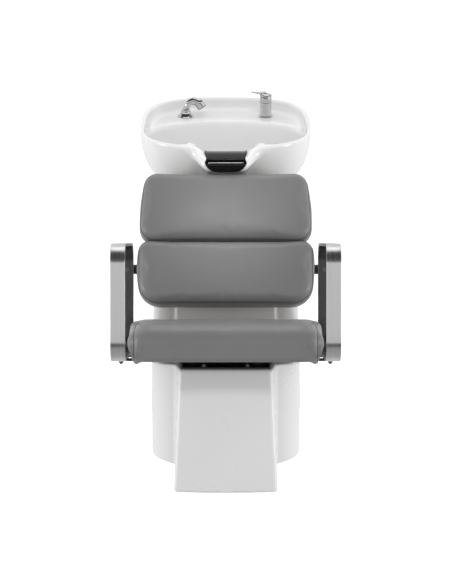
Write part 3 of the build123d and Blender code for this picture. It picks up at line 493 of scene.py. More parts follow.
def outline_distance(u, v, a, b, c, n=2.8):
    """Distance from a superellipse of half sizes a and b, centred c to the rear."""
    p = np.abs(u) / a
    q = np.abs(v - c) / b
    r = np.maximum((p**n + q**n) ** (1 / n), 1e-4)
    slope = r ** (1 - n) * np.hypot(p ** (n - 1) / a, q ** (n - 1) / b)
    return (r - 1) / np.maximum(slope, 1e-3)


BOWL_DEEP = 0.246


def bowl_half_width(d):
    """Half the bowl's outside width at a depth under the rim."""
    return 0.260 * np.maximum(1 - (np.maximum(d, 0) / BOWL_DEEP) ** 2.6, 1e-3) ** 0.4545


def bowl_half_length(d):
    """Half the bowl's outside length at a depth under the rim."""
    return 0.251 * np.maximum(1 - (np.maximum(d, 0) / BOWL_DEEP) ** 2.05, 1e-3) ** 0.5556


def bowl_shift(d):
    """How far the outline's middle has moved rearwards at a depth."""
    return 0.020 * (np.maximum(d, 0) / 0.222) ** 1.3


DECK = -MIXER_AT[2]  # the tap deck's depth under the rim
# the spout's side view as a closed line of y and z in the row's frame
LIP = np.array(
    [
        (150, 765), (105, 792), (65, 803), (35, 813), (28, 830), (40, 848),
        (68, 857), (90, 856), (115, 845), (142, 818), (172, 768),
    ],
    float,
) * MM


def curve_through(points, steps=8):
    """A smooth open line through points (Catmull-Rom)."""
    points = np.asarray(points, float)
    ends = np.vstack([2 * points[0] - points[1], points, 2 * points[-1] - points[-2]])
    made = []
    for i in range(1, len(ends) - 2):
        p0, p1, p2, p3 = ends[i - 1 : i + 3]
        for t in np.arange(steps) / steps:
            made.append(
                0.5 * (2 * p1 + (p2 - p0) * t + (2 * p0 - 5 * p1 + 4 * p2 - p3) * t**2
                       + (3 * p1 - p0 - 3 * p2 + p3) * t**3)
            )
    made.append(points[-1])
    return np.array(made)


def loop_distance(px, py, loop):
    """Signed distance from a closed 2-D outline, negative inside."""
    best = np.full(px.shape, 1e9)
    inside = np.zeros(px.shape, bool)
    for (x0, y0), (x1, y1) in zip(loop, np.roll(loop, -1, axis=0)):
        dx, dy = x1 - x0, y1 - y0
        t = np.clip(((px - x0) * dx + (py - y0) * dy) / max(dx * dx + dy * dy, 1e-18), 0, 1)
        best = np.minimum(best, np.hypot(px - x0 - t * dx, py - y0 - t * dy))
        level = (y0 > py) != (y1 > py)
        inside ^= level & (px < (x1 - x0) * (py - y0) / (y1 - y0 + 1e-18) + x0)
    return np.where(inside, -best, best)


def smoothed(value, start, width):
    """0 before start, 1 after start + width, and a smooth step between."""
    t = np.clip((value - start) / width, 0, 1)
    return t * t * (3 - 2 * t)


LIP_STEP = 0.002
LIP_LOW = np.array([-0.345, -0.290])  # corner of the table of the spout's side view, in v and w
lip_v = LIP_LOW[0] + LIP_STEP * np.arange(160)[:, None]
lip_w = LIP_LOW[1] + LIP_STEP * np.arange(170)[None, :]
LIP_TABLE = loop_distance(
    BOWL.origin[1] + lip_v * rearward[1] + lip_w * tap_axis[1],
    BOWL.origin[2] + lip_v * rearward[2] + lip_w * tap_axis[2],
    curve_through(LIP),
)


def lip_distance(u, v, w):
    """The spout: its side view, lifted and drawn back to meet the rim away from the middle."""
    aside = smoothed(np.abs(u), 0.052, 0.064)
    across = (v - 0.055 * aside - LIP_LOW[0]) / LIP_STEP
    upward = (w - 0.025 * aside - LIP_LOW[1]) / LIP_STEP
    across = np.clip(across + 0 * w, 0, LIP_TABLE.shape[0] - 1.01)
    upward = np.clip(upward + 0 * v, 0, LIP_TABLE.shape[1] - 1.01)
    i, j = across.astype(int), upward.astype(int)
    s, t = across - i, upward - j
    low = LIP_TABLE[i, j] * (1 - s) + LIP_TABLE[i + 1, j] * s
    high = LIP_TABLE[i, j + 1] * (1 - s) + LIP_TABLE[i + 1, j + 1] * s
    spout = low * (1 - t) + high * t
    # narrow at its foot, as wide as the notch at the rim
    half = 0.068 + 0.054 * smoothed(w, -0.085, 0.080)
    spout = smooth_max(spout * 0.9, (np.abs(u) - half) * 0.85, 0.022)
    return smooth_max(spout, w + 0.007, 0.012)


def bowl_field(u, v, w):
    """Distance field of the ceramic: u across, v rearwards, w up from the rim's plane."""
    d = -w
    a, b, c = bowl_half_width(d), bowl_half_length(d), bowl_shift(d)
    outside = outline_distance(u, v, a, b, c) * 0.93
    outside = smooth_max(outside, w, 0.012)
    outside = smooth_max(outside, -0.243 - w, 0.010)
    # the air inside: above the deck, and in the basin below it
    upper = smooth_max(outline_distance(u, v, a - 0.017, b - 0.017, c), -DECK - w, 0.026)
    front = c - b + 0.018
    rear = 0.105 - 0.012 * np.clip((d - 0.045) / 0.1, 0, 1)
    rear = rear - 0.06 * np.clip((d - 0.12) / 0.1, 0, 1) ** 2
    middle, length = (front + rear) / 2, np.maximum((rear - front) / 2, 0.02)
    basin = outline_distance(u, v, np.maximum(a - 0.018, 0.05), length, middle, 2.5) * 0.9
    basin = smooth_max(basin, -0.212 - w, 0.05)
    basin = smooth_max(basin, w - 0.02, 0.004)
    air = smooth_min(upper, basin, 0.016)
    body = smooth_max(outside, -air, 0.011)
    # the neck notch
    floor = -0.034 + 0.050 * smoothed(np.abs(u), 0.054, 0.074)
    notch = smooth_max((floor - w) * 0.9, v + 0.10, 0.02)
    body = smooth_max(body, -notch, 0.012)
    body = smooth_min(body, lip_distance(u, v, w), 0.020)
    # the hollow under the deck
    cavity = outline_distance(u, v, a - 0.011, b - 0.011, c)
    cavity = np.maximum(cavity, np.maximum(w + 0.060, rear + 0.018 - v))
    cavity = np.minimum(cavity, np.maximum(np.maximum(w + 0.170, 0.094 - v), np.abs(u) - 0.150))
    return smooth_max(body, -cavity, 0.004)


def build_bowl():
    made = skin("bowl_ceramic", bowl_field, (-0.272, -0.312, -0.252), (0.272, 0.27, 0.012),
                0.003, BOWL, 5, "glaze")
    place(made, "bowl", ["bowl"])


def pad_field(u, v, w):
    """The saddle pad: a thin skin that follows the spout and the notch."""
    body = bowl_field(u, v, w)
    pad = smooth_max(body - 0.0048, -body + 0.0003, 0.001)
    y = BOWL.origin[1] + v * rearward[1] + w * tap_axis[1]
    z = BOWL.origin[2] + v * rearward[2] + w * tap_axis[2]
    # raised ears, a waist below them, and a round bottom
    half = 0.0605 + 0.0028 * np.cos(2 * math.pi * np.clip((0.866 - z) / 0.034, 0, 1.3))
    pad = smooth_max(pad, np.abs(u) - half, 0.003)
    pad = smooth_max(pad, 0.806 + 0.030 * np.clip(np.abs(u) / 0.063, 0, 1.2) ** 4 - z, 0.003)
    pad = smooth_max(pad, y - 0.089 - 1.2 * u * u, 0.003)
    return smooth_max(pad, (y - 0.06) - (z - 0.792) * 8, 0.003)


def build_neck_rest():
    made = skin("neck_pad", pad_field, (-0.072, -0.312, -0.105), (0.072, -0.165, 0.004),
                0.0016, BOWL, 2, "silicone")
    place(made, "bowl", ["neck_rest"])


# ---- lofts, turned and bent pieces ----


def ring_faces(count, rings, closed=False):
    """Quads between rings of points, with an end face on each side unless it's closed."""
    faces = []
    for j in range(rings if closed else rings - 1):
        for i in range(count):
            a, b = j * count + i, j * count + (i + 1) % count
            c, d = ((j + 1) % rings) * count + (i + 1) % count, ((j + 1) % rings) * count + i
            faces.append((a, b, c, d))
    if not closed:
        faces.append(tuple(range(count)))
        faces.append(tuple(range((rings - 1) * count, rings * count)))
    return faces


def millimetres(profile):
    return [(a * MM, b * MM) for a, b in profile]


def rounded_profile(corners, soft, steps=5):
    """A turning profile with each corner between its ends rounded by its own radius."""
    corners = np.array(millimetres(corners), float)
    made = [corners[0]]
    for before, here, after, r in zip(corners, corners[1:], corners[2:], soft):
        to_before, to_after = before - here, after - here
        reach = min(r * MM, 0.45 * np.linalg.norm(to_before), 0.45 * np.linalg.norm(to_after))
        start = here + to_before / np.linalg.norm(to_before) * reach
        end = here + to_after / np.linalg.norm(to_after) * reach
        for t in np.linspace(0, 1, steps):
            made.append((1 - t) ** 2 * start + 2 * t * (1 - t) * here + t**2 * end)
    made.append(corners[-1])
    return made


def turned(name, where, corners, material, soft=None, segments=72, bored=False):
    """A piece turned about where's z, from corners of radius and height in mm, in order.

    A bored piece's profile closes on itself; any other ends in two flat faces.
    """
    profile = rounded_profile(corners, soft) if soft else millimetres(corners)
    angle = np.linspace(0, 2 * math.pi, segments, endpoint=False)
    points = []
    for radius, height in profile:
        radius = max(radius, 1e-5)
        for a in angle:
            points.append((radius * math.cos(a), radius * math.sin(a), height))
    faces = ring_faces(segments, len(profile), closed=bored)
    return mesh_object(name, where.out(points), faces, material)


def swept(name, centres, sides, ups, section, material):
    """A section (across, up) carried round a closed line, its directions given at each point."""
    points = []
    for centre, side, up in zip(centres, sides, ups):
        for across, height in section:
            points.append(centre + across * side + height * up)
    return mesh_object(name, points, ring_faces(len(section), len(centres), closed=True), material)


def bar_section(width, thick, soft=0.0012, steps=4):
    """A flat bar's cross-section with softened edges."""
    made = []
    for sx, sy, start in ((1, 1, 0), (-1, 1, 90), (-1, -1, 180), (1, -1, 270)):
        cx, cy = sx * (width / 2 - soft), sy * (thick / 2 - soft)
        for t in np.linspace(0, 90, steps):
            a = math.radians(start + t)
            made.append((cx + soft * math.cos(a), cy + soft * math.sin(a)))
    return made


def tube_frames(line):
    """Side and up directions along a line, turning as little as possible."""
    line = np.asarray(line, float)
    along = np.gradient(line, axis=0)
    along /= np.linalg.norm(along, axis=1)[:, None]
    side = np.cross(along[0], (0.13, 0.31, 0.94))
    side /= np.linalg.norm(side)
    sides = []
    for t in along:
        side = side - t * np.dot(side, t)
        side /= np.linalg.norm(side)
        sides.append(side.copy())
    sides = np.array(sides)
    return sides, np.cross(along, sides)


def tube(name, line, radius, material, around=8):
    """A round bead along a line of points."""
    angle = np.linspace(0, 2 * math.pi, around, endpoint=False)
    points = []
    for centre, side, up in zip(line, *tube_frames(line)):
        points.extend(centre + radius * (math.cos(a) * side + math.sin(a) * up) for a in angle)
    return mesh_object(name, points, ring_faces(around, len(line)), material)


# ---- arm loops ----


def build_arm(node):
    """A flat brushed bar bent on its broad side into a closed rounded rectangle."""
    local = SEAT.into(np.array([v.co for v in NODES[node].data.vertices], float))
    low, high = local.min(0), local.max(0)
    x = (low[0] + high[0]) / 2
    width = high[0] - low[0]
    bar, bend = 0.008, 0.055
    middle = (low[1:] + high[1:]) / 2
    half = (high[1:] - low[1:] - bar) / 2
    r = bend - bar / 2
    line, outward = [], []
    for across, upward, start in ((1, 1, 0), (-1, 1, 90), (-1, -1, 180), (1, -1, 270)):
        centre = middle + np.array([across, upward]) * (half - r)
        for t in np.linspace(start, start + 90, 25):
            a = math.radians(t)
            line.append(centre + r * np.array([math.cos(a), math.sin(a)]))
            outward.append((math.cos(a), math.sin(a)))
    line.append(line[0])
    # the straight runs get points of their own
    full, ways = [], []
    for here, there, way in zip(line, line[1:], outward):
        gap = np.linalg.norm(there - here)
        steps = max(1, int(gap / 0.03))
        for t in np.arange(steps) / steps:
            full.append(here + t * (there - here))
            ways.append(way)
    centres = SEAT.out([(x, a, b) for a, b in full])
    ups = np.array([(0, a, b) for a, b in ways]) @ SEAT.axes
    sides = np.tile(np.array([1.0, 0, 0]), (len(full), 1))
    section = bar_section(width, bar, 0.0014)
    made = swept(node + "_bar", centres, sides, ups, section, "brushed")
    # the second material paints a dark reflection and shade on the bar's inner face
    made.data.materials.append(MATERIALS["dark_reflection_steel"])
    count = len(section)
    for number, face in enumerate(made.data.polygons):
        if number % count == 3 * count // 4 - 1:  # the broad face towards the middle, which gets the painted dark reflection and shade
            face.material_index = 1
    place(made, "base", [node])


# ---- cushions ----


def edge_round(a, b, r):
    """Two distances joined along an edge of radius r."""
    outer = np.hypot(np.maximum(a + r, 0), np.maximum(b + r, 0))
    return outer + np.minimum(np.maximum(a, b) + r, 0) - r


def plan_distance(x, y, half_x, half_y, corner):
    """Distance from a rectangle with rounded corners."""
    return edge_round(np.abs(x) - half_x, np.abs(y) - half_y, corner)


COVER_STEP = 0.0065
PUFF_FRAMES = 20
PUFF_LIMIT = 0.005
COVER = {
    "quality": 5, "mass": 0.3, "tension_stiffness": 18, "compression_stiffness": 18,
    "shear_stiffness": 8, "bending_stiffness": 3, "use_pressure": True,
    "uniform_pressure_force": 4.0,
}


def puff(made, held):
    """Foam under a tight cover: a cloth simulation swells the skin, except where held() is 0."""
    mesh = made.data
    rest = np.array([v.co for v in mesh.vertices], float)
    cloth = made.modifiers.new("puff", "CLOTH")
    for key, value in COVER.items():
        setattr(cloth.settings, key, value)
    cloth.settings.effector_weights.gravity = 0
    cloth.collision_settings.use_collision = False
    cloth.point_cache.frame_start = 1
    cloth.point_cache.frame_end = PUFF_FRAMES
    for number in range(1, PUFF_FRAMES + 1):
        bpy.context.scene.frame_set(number)
    graph = bpy.context.evaluated_depsgraph_get()
    moved = np.array([v.co for v in made.evaluated_get(graph).data.vertices], float) - rest
    made.modifiers.remove(cloth)
    bpy.context.scene.frame_set(1)
    size = np.linalg.norm(moved, axis=1)
    moved *= (np.minimum(1, PUFF_LIMIT / np.maximum(size, 1e-9)) * held(rest))[:, None]
    mesh.vertices.foreach_set("co", (rest + moved).astype(np.float32).ravel())
    mesh.update()
    print("puffed", made.name, round(float(size.max()) * 1000, 1), "mm at most")


def subdivided(made):
    """One subdivision, applied."""
    smooth = made.modifiers.new("smooth", "SUBSURF")
    smooth.levels = smooth.render_levels = 1
    graph = bpy.context.evaluated_depsgraph_get()
    finer = bpy.data.meshes.new_from_object(made.evaluated_get(graph))
    made.modifiers.remove(smooth)
    made.data = finer
    finer.polygons.foreach_set("use_smooth", [True] * len(finer.polygons))


SEAM_DEPTH = 0.0016
SEAM_REACH = 0.007
WELT = 0.0009  # radius of the sewn edge


def seam(name, made, line, where, aim):
    """Draws a cushion in along a closed line and lays the sewn edge in the groove.

    line holds points of where's frame just outside the cover, and aim(point) the point
    inside that each one looks at.
    """
    tree = BVHTree.FromObject(made, bpy.context.evaluated_depsgraph_get())
    path = []
    for point in line:
        start = Vector(where.out(point))
        way = (Vector(where.out(aim(point))) - start).normalized()
        hit = tree.ray_cast(start, way)[0]
        if hit is not None:
            path.append(tuple(hit))
    path = np.array(path)
    mesh = made.data
    points = np.array([v.co for v in mesh.vertices], float)
    normals = np.array([v.normal for v in mesh.vertices], float)
    near = np.full(len(points), 1.0)
    for a, b in zip(path, np.roll(path, -1, axis=0)):
        along = b - a
        t = np.clip((points - a) @ along / max(along @ along, 1e-12), 0, 1)
        near = np.minimum(near, np.linalg.norm(points - a - t[:, None] * along, axis=1))
    sunk = SEAM_DEPTH * np.exp(-((near / SEAM_REACH) ** 2))
    points -= normals * sunk[:, None]
    mesh.vertices.foreach_set("co", points.astype(np.float32).ravel())
    mesh.update()
    tree = BVHTree.FromObject(made, bpy.context.evaluated_depsgraph_get())
    settled = []
    for point in path:
        hit, normal, _, _ = tree.find_nearest(Vector(point))
        settled.append(np.array(hit + normal * (WELT * 0.25)))
    settled.append(settled[0])
    # the sewn edge is coloured dark: painted shade for the groove it lies in
    return tube(name, np.array(settled), WELT, "seam_shade_vinyl")


def evened(points, step):
    """A closed line of points, evenly spaced."""
    points = np.vstack([points, points[:1]])
    lengths = np.concatenate([[0], np.cumsum(np.linalg.norm(np.diff(points, axis=0), axis=1))])
    count = int(lengths[-1] / step)
    at = np.linspace(0, lengths[-1], count, endpoint=False)
    return np.array([np.interp(at, lengths, points[:, axis]) for axis in range(points.shape[1])]).T


def rounded_outline(low, high, half_low, half_high, corner_low, corner_high):
    """A cushion's outline in its plane, wider or narrower at the top, as a closed line."""
    corners = [
        (half_low, low, corner_low),
        (half_high, high, corner_high),
        (-half_high, high, corner_high),
        (-half_low, low, corner_low),
    ]
    made = []
    for i, (x, y, r) in enumerate(corners):
        here = np.array([x, y])
        before = np.array(corners[i - 1][:2])
        after = np.array(corners[(i + 1) % 4][:2])
        to_before = (before - here) / np.linalg.norm(before - here)
        to_after = (after - here) / np.linalg.norm(after - here)
        half_angle = math.acos(np.clip(to_before @ to_after, -1, 1)) / 2
        reach = r / math.tan(half_angle)
        middle = to_before + to_after
        centre = here + middle / np.linalg.norm(middle) * r / math.sin(half_angle)
        start, end = here + to_before * reach, here + to_after * reach
        a0 = math.atan2(*(start - centre)[::-1])
        a1 = math.atan2(*(end - centre)[::-1])
        turn = (a1 - a0 + math.pi) % (2 * math.pi) - math.pi
        for t in np.linspace(0, 1, 12):
            a = a0 + t * turn
            made.append(centre + r * np.array([math.cos(a), math.sin(a)]))
    return np.array(made)


SEAT_MIDDLE = 0.215  # half its length
SEAT_TALL = 0.098
SEAT_WAIST = 0.046  # the height that its side seams are drawn about


def seat_field(x, y, z):
    """The seat: full at the front edge, drawn in at its corners, lightly crowned."""
    rise = np.clip(z / SEAT_TALL, 0, 1)
    rearward_share = smoothed(y, 0.10, 0.22)
    belly = 0.0155 * np.sin(math.pi * rise * 0.95) - (0.0040 - 0.0165 * rearward_share) * rise**2
    fore = 0.0045 * np.sin(math.pi * np.clip(rise * 1.05, 0, 1))
    across = np.clip(np.abs(x) / 0.25, 0, 1)
    along = np.clip(np.abs(y - SEAT_MIDDLE) / SEAT_MIDDLE, 0, 1)
    corner = 0.058 - 0.046 * smoothed(y, 0.20, 0.12)
    plan = plan_distance(x, y - 0.2175, 0.2525 + belly - 0.0015 * along**2, 0.2125 + fore, corner)
    crown = 0.0035 * (1 - across**2) * (1 - along**2)
    dents = 0.003 * np.exp(-(((np.abs(x) - 0.168) / 0.030) ** 2) - ((y - 0.30) / 0.10) ** 2)
    top = z - (SEAT_TALL - 0.004) - crown + dents
    # the cover's slack, gathered under the front corners
    gathered = np.exp(-(((np.abs(x) - 0.246) / 0.013) ** 2) - ((y - 0.055) / 0.045) ** 2)
    bottom = -z - 0.0005 - 0.0110 * gathered
    body = edge_round(plan, top, 0.030 - 0.021 * smoothed(y, 0.03, 0.15))
    return edge_round(body, bottom, 0.007)


def build_seat():
    made = skin("seat_upholstery", seat_field, (-0.285, -0.015, -0.019), (0.285, 0.448, 0.115),
                COVER_STEP, SEAT, 3, "vinyl")

    def held(points):
        x, _, z = SEAT.into(points).T
        return np.clip((z - 0.004) / 0.03, 0, 1) * np.clip((0.2665 - np.abs(x)) / 0.012, 0, 1)

    puff(made, held)
    subdivided(made)
    half = SEAT_MIDDLE - 0.008
    outline = rounded_outline(0.006, SEAT_TALL - 0.008, half, half, 0.012, 0.028)
    welts = []
    for side, word in ((-1, "left"), (1, "right")):

        def aim(point, side=side):
            """Inwards from the line, to where it leaves the cover along the side panel's edge."""
            return (side * 0.2485, SEAT_MIDDLE + (point[1] - SEAT_MIDDLE) / 1.12 * 0.6,
                    SEAT_WAIST + (point[2] - SEAT_WAIST) / 1.5 * 0.3)

        line = [(side * 0.249, SEAT_MIDDLE + a * 1.12, SEAT_WAIST + (b - SEAT_WAIST) * 1.5)
                for a, b in evened(outline, 0.006)]
        welts.append(seam(f"seat_seam_{word}", made, line, SEAT, aim))
    place(made, "base", ["seat_cushion"])
    for welt in welts:
        place(welt, "base")


# lowest and highest edge, half widths there, and corner radii there
LOWER_SHAPE = (-0.1845, 0.0025, 0.254, 0.257, 0.062, 0.034)
UPPER_SHAPE = (0.0065, 0.2145, 0.258, 0.2415, 0.054, 0.038)
BACK_THICK = 0.076


def back_field(shape, x, y, z):
    """A back cushion: outline with big corners, crowned face, sides that bulge from a seam."""
    low, high, half_low, half_high, corner_low, corner_high = shape
    share = np.clip((y - low) / (high - low), 0, 1)
    half = half_low + (half_high - half_low) * share
    corner = corner_low + (corner_high - corner_low) * (share > 0.5)
    middle = (low + high) / 2
    belly = 0.0060 * np.sin(math.pi * np.clip(-z / BACK_THICK, 0, 1)) - 0.0035
    tall = (high - low) / 2 + belly + 0.0026
    plan = plan_distance(x, y - middle, half + belly, tall, corner)
    across = np.clip(np.abs(x) / half, 0, 1)
    up = np.clip(np.abs(y - middle) / ((high - low) / 2), 0, 1)
    crown = 0.0085 * (1 - across**4) * (1 - up**2) - 0.0050
    body = edge_round(plan, z - crown, 0.017)
    return edge_round(body, -z - BACK_THICK, 0.008)


def build_back(name, node, shape, where):
    made = skin(name, lambda x, y, z: back_field(shape, x, y, z),
                (-0.275, shape[0] - 0.02, -0.090), (0.275, shape[1] + 0.02, 0.022),
                COVER_STEP, where, 3, "vinyl")

    def held(points):
        return np.clip((where.into(points)[:, 2] + 0.072) / 0.03, 0, 1)

    puff(made, held)
    subdivided(made)
    middle = (shape[0] + shape[1]) / 2
    outline = evened(rounded_outline(*shape), 0.006)
    line = [(a * 1.06, middle + (b - middle) * 1.16, -0.017) for a, b in outline]
    welt = seam(name + "_seam", made, line, where,
                lambda p: (p[0] * 0.8, middle + (p[1] - middle) * 0.5, -0.030))
    place(made, "base", [node])
    place(welt, "base")


# ---- mixer tap ----

MIXER = BOWL.at(*MIXER_AT)
SHOWER = BOWL.at(-MIXER_AT[0], MIXER_AT[1], MIXER_AT[2])


def build_mixer():
    ring = turned(
        "mixer_flange", MIXER, [(17, 0), (22.4, 0), (22.4, 2.2), (20.4, 4.6), (17, 5)],
        "chrome", [0.3, 1.2, 1.0])
    place(ring, "bowl", ["mixer_base_ring"])
    body = turned(
        "mixer_barrel", MIXER,
        [(15, 4.9), (19, 4.9), (18.2, 12), (17.6, 26), (18.2, 40), (18.9, 48), (15, 48)],
        "chrome", [1.2, 6, 10, 8, 0.8])
    shank = turned("mixer_shank", MIXER, [(16, -39), (16, 4)], "brass")
    place(body, "bowl", ["mixer_body"])
    place(shank, "bowl")
    hub = turned(
        "mixer_cartridge", MIXER,
        [(14, 48.4), (18.4, 48.4), (18.6, 56), (18.4, 63.5), (16.5, 66), (14, 66)],
        "chrome", [0.8, 4, 3, 1])
    place(hub, "mixer_hub", ["mixer_hub"])
    lever = skin("mixer_handle", lever_field, (-0.052, -0.024, 0.060), (0.024, 0.024, 0.094),
                 0.0010, MIXER.at(0, 0, -0.007), 3, "chrome")
    place(lever, "mixer_lever", ["mixer_lever"])


def lever_field(u, v, w):
    """The lever: a hood over the hub that runs out into a thin flat handle to the left."""
    r = np.hypot(u, v)
    top = 0.0865 - 0.0060 * (u + 0.018) / 0.036 - 12 * v * v
    skirt = 0.0742 - 0.0095 * np.clip((u - 0.002) / 0.017, 0, 1) ** 1.5
    hood = smooth_max(smooth_max(r - 0.0195, w - top, 0.005), skirt - w, 0.0012)
    # hollow, for the hub's head
    hood = np.maximum(hood, -np.maximum(r - 0.0192, w - 0.0738))
    hood = np.maximum(hood, -np.maximum(r - 0.0160, w - 0.0785))
    along = np.clip((u + 0.048) / 0.044, 0, 1)
    wide = 0.0052 + 0.0048 * along**2
    middle = 0.0872 - 0.0042 * along - 0.0012 * np.sin(math.pi * along)
    bar = smooth_max(
        np.abs(w - middle) - (0.0017 + 0.0022 * along**2), np.abs(v) - wide, 0.0022
    )
    bar = smooth_max(bar, np.maximum(-0.047 - u, u - 0.002), 0.004)
    return smooth_min(hood, bar, 0.005)


def build_shower():
    holder = turned(
        "shower_socket", SHOWER,
        [(9, 0), (25.8, 0), (25.8, 2.0), (23, 4.2), (17.2, 10), (14.6, 16), (13.8, 21),
         (13.8, 23.4), (9, 24)],
        "chrome", [0.4, 1, 3, 6, 8, 4, 1], bored=True)
    neck = turned("shower_tail", SHOWER, [(9, -28), (13.9, -28), (13.9, 1), (9, 1)], "brass",
                  bored=True)
    place(holder, "bowl", ["shower_holder"])
    place(neck, "bowl")
    body = skin("shower_body", shower_field, (-0.020, -0.022, -0.030), (0.078, 0.022, 0.082),
                0.0013, SHOWER, 3, "chrome")
    place(body, "hand_shower", ["shower_handle"])
    build_face()


FACE_AT = np.array([0.051, 0.029])  # middle of the spray face, aside and up from the holder
FACE_TURN = math.radians(32)  # how far it looks aside from straight down


def shower_field(u, v, w):
    """The hand shower: stem, swan neck and domed head, poured in one."""
    # points of the neck's line, aside and up, with its radius in mm
    neck = curve_through(
        [(0, -0.024, 8.0), (0, 0.022, 8.2), (0.003, 0.034, 9.6), (0.012, 0.046, 11.2),
         (0.026, 0.051, 12.5)], 6)
    body = np.full(np.broadcast_shapes(u.shape, v.shape, w.shape), 1.0)
    for (x0, z0, r0), (x1, z1, r1) in zip(neck, neck[1:]):
        dx, dz = x1 - x0, z1 - z0
        t = np.clip(((u - x0) * dx + (w - z0) * dz) / (dx * dx + dz * dz), 0, 1)
        reach = np.sqrt((u - x0 - t * dx) ** 2 + v**2 + (w - z0 - t * dz) ** 2)
        body = np.minimum(body, reach - (r0 + t * (r1 - r0)) * MM)
    # the head, about the spray's own axis
    sx, sz = math.sin(FACE_TURN), -math.cos(FACE_TURN)
    depth = (u - FACE_AT[0]) * sx + (w - FACE_AT[1]) * sz  # grows towards the spray
    radial = np.sqrt((u - FACE_AT[0] - depth * sx) ** 2 + v**2 + (w - FACE_AT[1] - depth * sz) ** 2)
    dome = np.sqrt(radial**2 + (np.minimum(depth + 0.0185, 0) * 1.02) ** 2) - 0.0148
    head = smooth_max(dome, depth + 0.0042, 0.002)
    return smooth_min(body, head, 0.007)


def build_face():
    """The spray ring with its ribs, and the dark plate with nozzles inside it."""
    c, s = math.cos(FACE_TURN), math.sin(FACE_TURN)
    origin = SHOWER.out([FACE_AT[0], 0, FACE_AT[1]])
    towards = np.array([s, 0, -c]) @ SHOWER.axes
    aside = np.array([0, 1.0, 0]) @ SHOWER.axes
    spray = Place(origin, np.cross(aside, towards), aside, towards)
    segments = 144  # six to a rib
    profile = millimetres([(10, -4.3), (14.2, -4.3), (14.8, -3.4), (14.8, -0.8), (14.0, 0),
                           (11.8, 0), (11.2, -1.0), (9, -1.0)])
    points = []
    for radius, height in profile:
        for i in range(segments):
            a = 2 * math.pi * i / segments
            ribbed = radius - (0.0007 if radius > 0.0135 and (i // 3) % 2 else 0)
            points.append((ribbed * math.cos(a), ribbed * math.sin(a), height))
    ring = mesh_object(
        "shower_ring", spray.out(points), ring_faces(segments, len(profile)), "chrome")
    place(ring, "hand_shower", ["shower_face"])
    plate = turned(
        "shower_plate", spray, [(0.01, -3), (11, -3), (11, -0.9), (4, -0.3), (0.01, -0.2)],
        "black_plastic", [0.2, 0.5, 2])
    place(plate, "hand_shower")
    for ring_radius, count in ((0.0035, 6), (0.0080, 12)):
        for i in range(count):
            a = 2 * math.pi * i / count
            at = spray.at(ring_radius * math.cos(a), ring_radius * math.sin(a), 0)
            nozzle = turned(
                f"shower_nozzle_{count}_{i}", at,
                [(1.3, -1.2), (1.2, 0.4), (0.5, 0.9), (0.4, 0.2)],
                "black_plastic", [0.3, 0.3], 14)
            place(nozzle, "hand_shower")


# ---- the spray hose under the deck ----

# its route in the bowl's frame, from the hand shower's riser to the mixer
HOSE_ROUTE = [
    (-0.125, 0.155, -0.1304),
    (-0.125, 0.155, -0.156),
    (-0.125, 0.072, -0.296),
    (0.125, 0.072, -0.296),
    (0.125, 0.162, -0.156),
    (0.125, 0.162, -0.112),
]
HOSE_WIDTH = 0.012


def build_hose():
    """The hose hangs in a loop inside the column."""
    curve = bpy.data.curves.new("spray_hose_loop", "CURVE")
    curve.dimensions = "3D"
    curve.bevel_depth = HOSE_WIDTH / 2
    curve.bevel_resolution = 4
    curve.resolution_u = 16
    curve.use_fill_caps = True
    spline = curve.splines.new("NURBS")
    route = BOWL.out(HOSE_ROUTE)
    spline.points.add(len(route) - 1)
    for point, at in zip(spline.points, route):
        point.co = (*at, 1)
    spline.order_u = 3
    spline.use_endpoint_u = True
    curve.materials.append(MATERIALS["hose"])
    made = linked("spray_hose_loop", curve)
    place(made, "bowl", ["spray_hose"])


# ---- floor, light and camera ----


def build_stage():
    """A plain pale floor that only the camera sees."""
    half = 60.0
    corners = [(-half, -half, 0), (half, -half, 0), (half, half, 0), (-half, half, 0)]
    floor = mesh_object("floor", corners, [(0, 1, 2, 3)], "studio_floor", smooth=False)
    floor.visible_diffuse = False
    floor.visible_glossy = False


def lamp(name, kind, at, to, power):
    """A light at one point, turned to another."""
    light = bpy.data.lights.new(name, kind)
    light.energy = power
    made = linked(name, light)
    made.location = at
    made.rotation_euler = (Vector(to) - Vector(at)).to_track_quat("-Z", "Y").to_euler()
    return made


def softbox(name, at, to, width, height, power):
    made = lamp(name, "AREA", at, to, power)
    made.data.shape = "RECTANGLE"
    made.data.size = width
    made.data.size_y = height
    return made


def glow(name, at, to, degrees, power):
    """A soft-edged pool of light on one cushion."""
    made = lamp(name, "SPOT", at, to, power)
    made.data.spot_size = math.radians(degrees)
    made.data.spot_blend = 1.0
    made.data.shadow_soft_size = 0.15


def sky_ramp(sky, height, stops):
    """Brightness by height, from -1 straight below to 1 straight above."""
    ramp = sky.node("ShaderNodeValToRGB", {"Fac": height})
    ramp.color_ramp.interpolation = "EASE"
    elements = ramp.color_ramp.elements
    while len(elements) < len(stops):
        elements.new(0.5)
    for element, (up, level) in zip(elements, stops):
        element.position = (up + 1) / 2
        element.color = (*grey(level), 1)
    return ramp.outputs["Color"]


# height and brightness there, for matt surfaces and for what glossy ones mirror
DIFFUSE_SKY = [(-1.0, 0.50), (-0.4, 0.62), (-0.1, 1.05), (0.2, 1.05), (0.45, 0.50), (1.0, 0.40)]
GLOSSY_FRONT = [(-1.0, 0.55), (-0.45, 0.45), (-0.28, 0.06), (-0.06, 0.08),
                (0.02, 1.1), (0.26, 1.1), (0.36, 0.08), (1.0, 0.06)]
GLOSSY_BACK = [(-1.0, 0.8), (-0.1, 0.9), (1.0, 1.0)]
FRONT_SHARE, BACK_SHARE = 0.74, 1.95  # how bright the sky is for matt surfaces, front and back


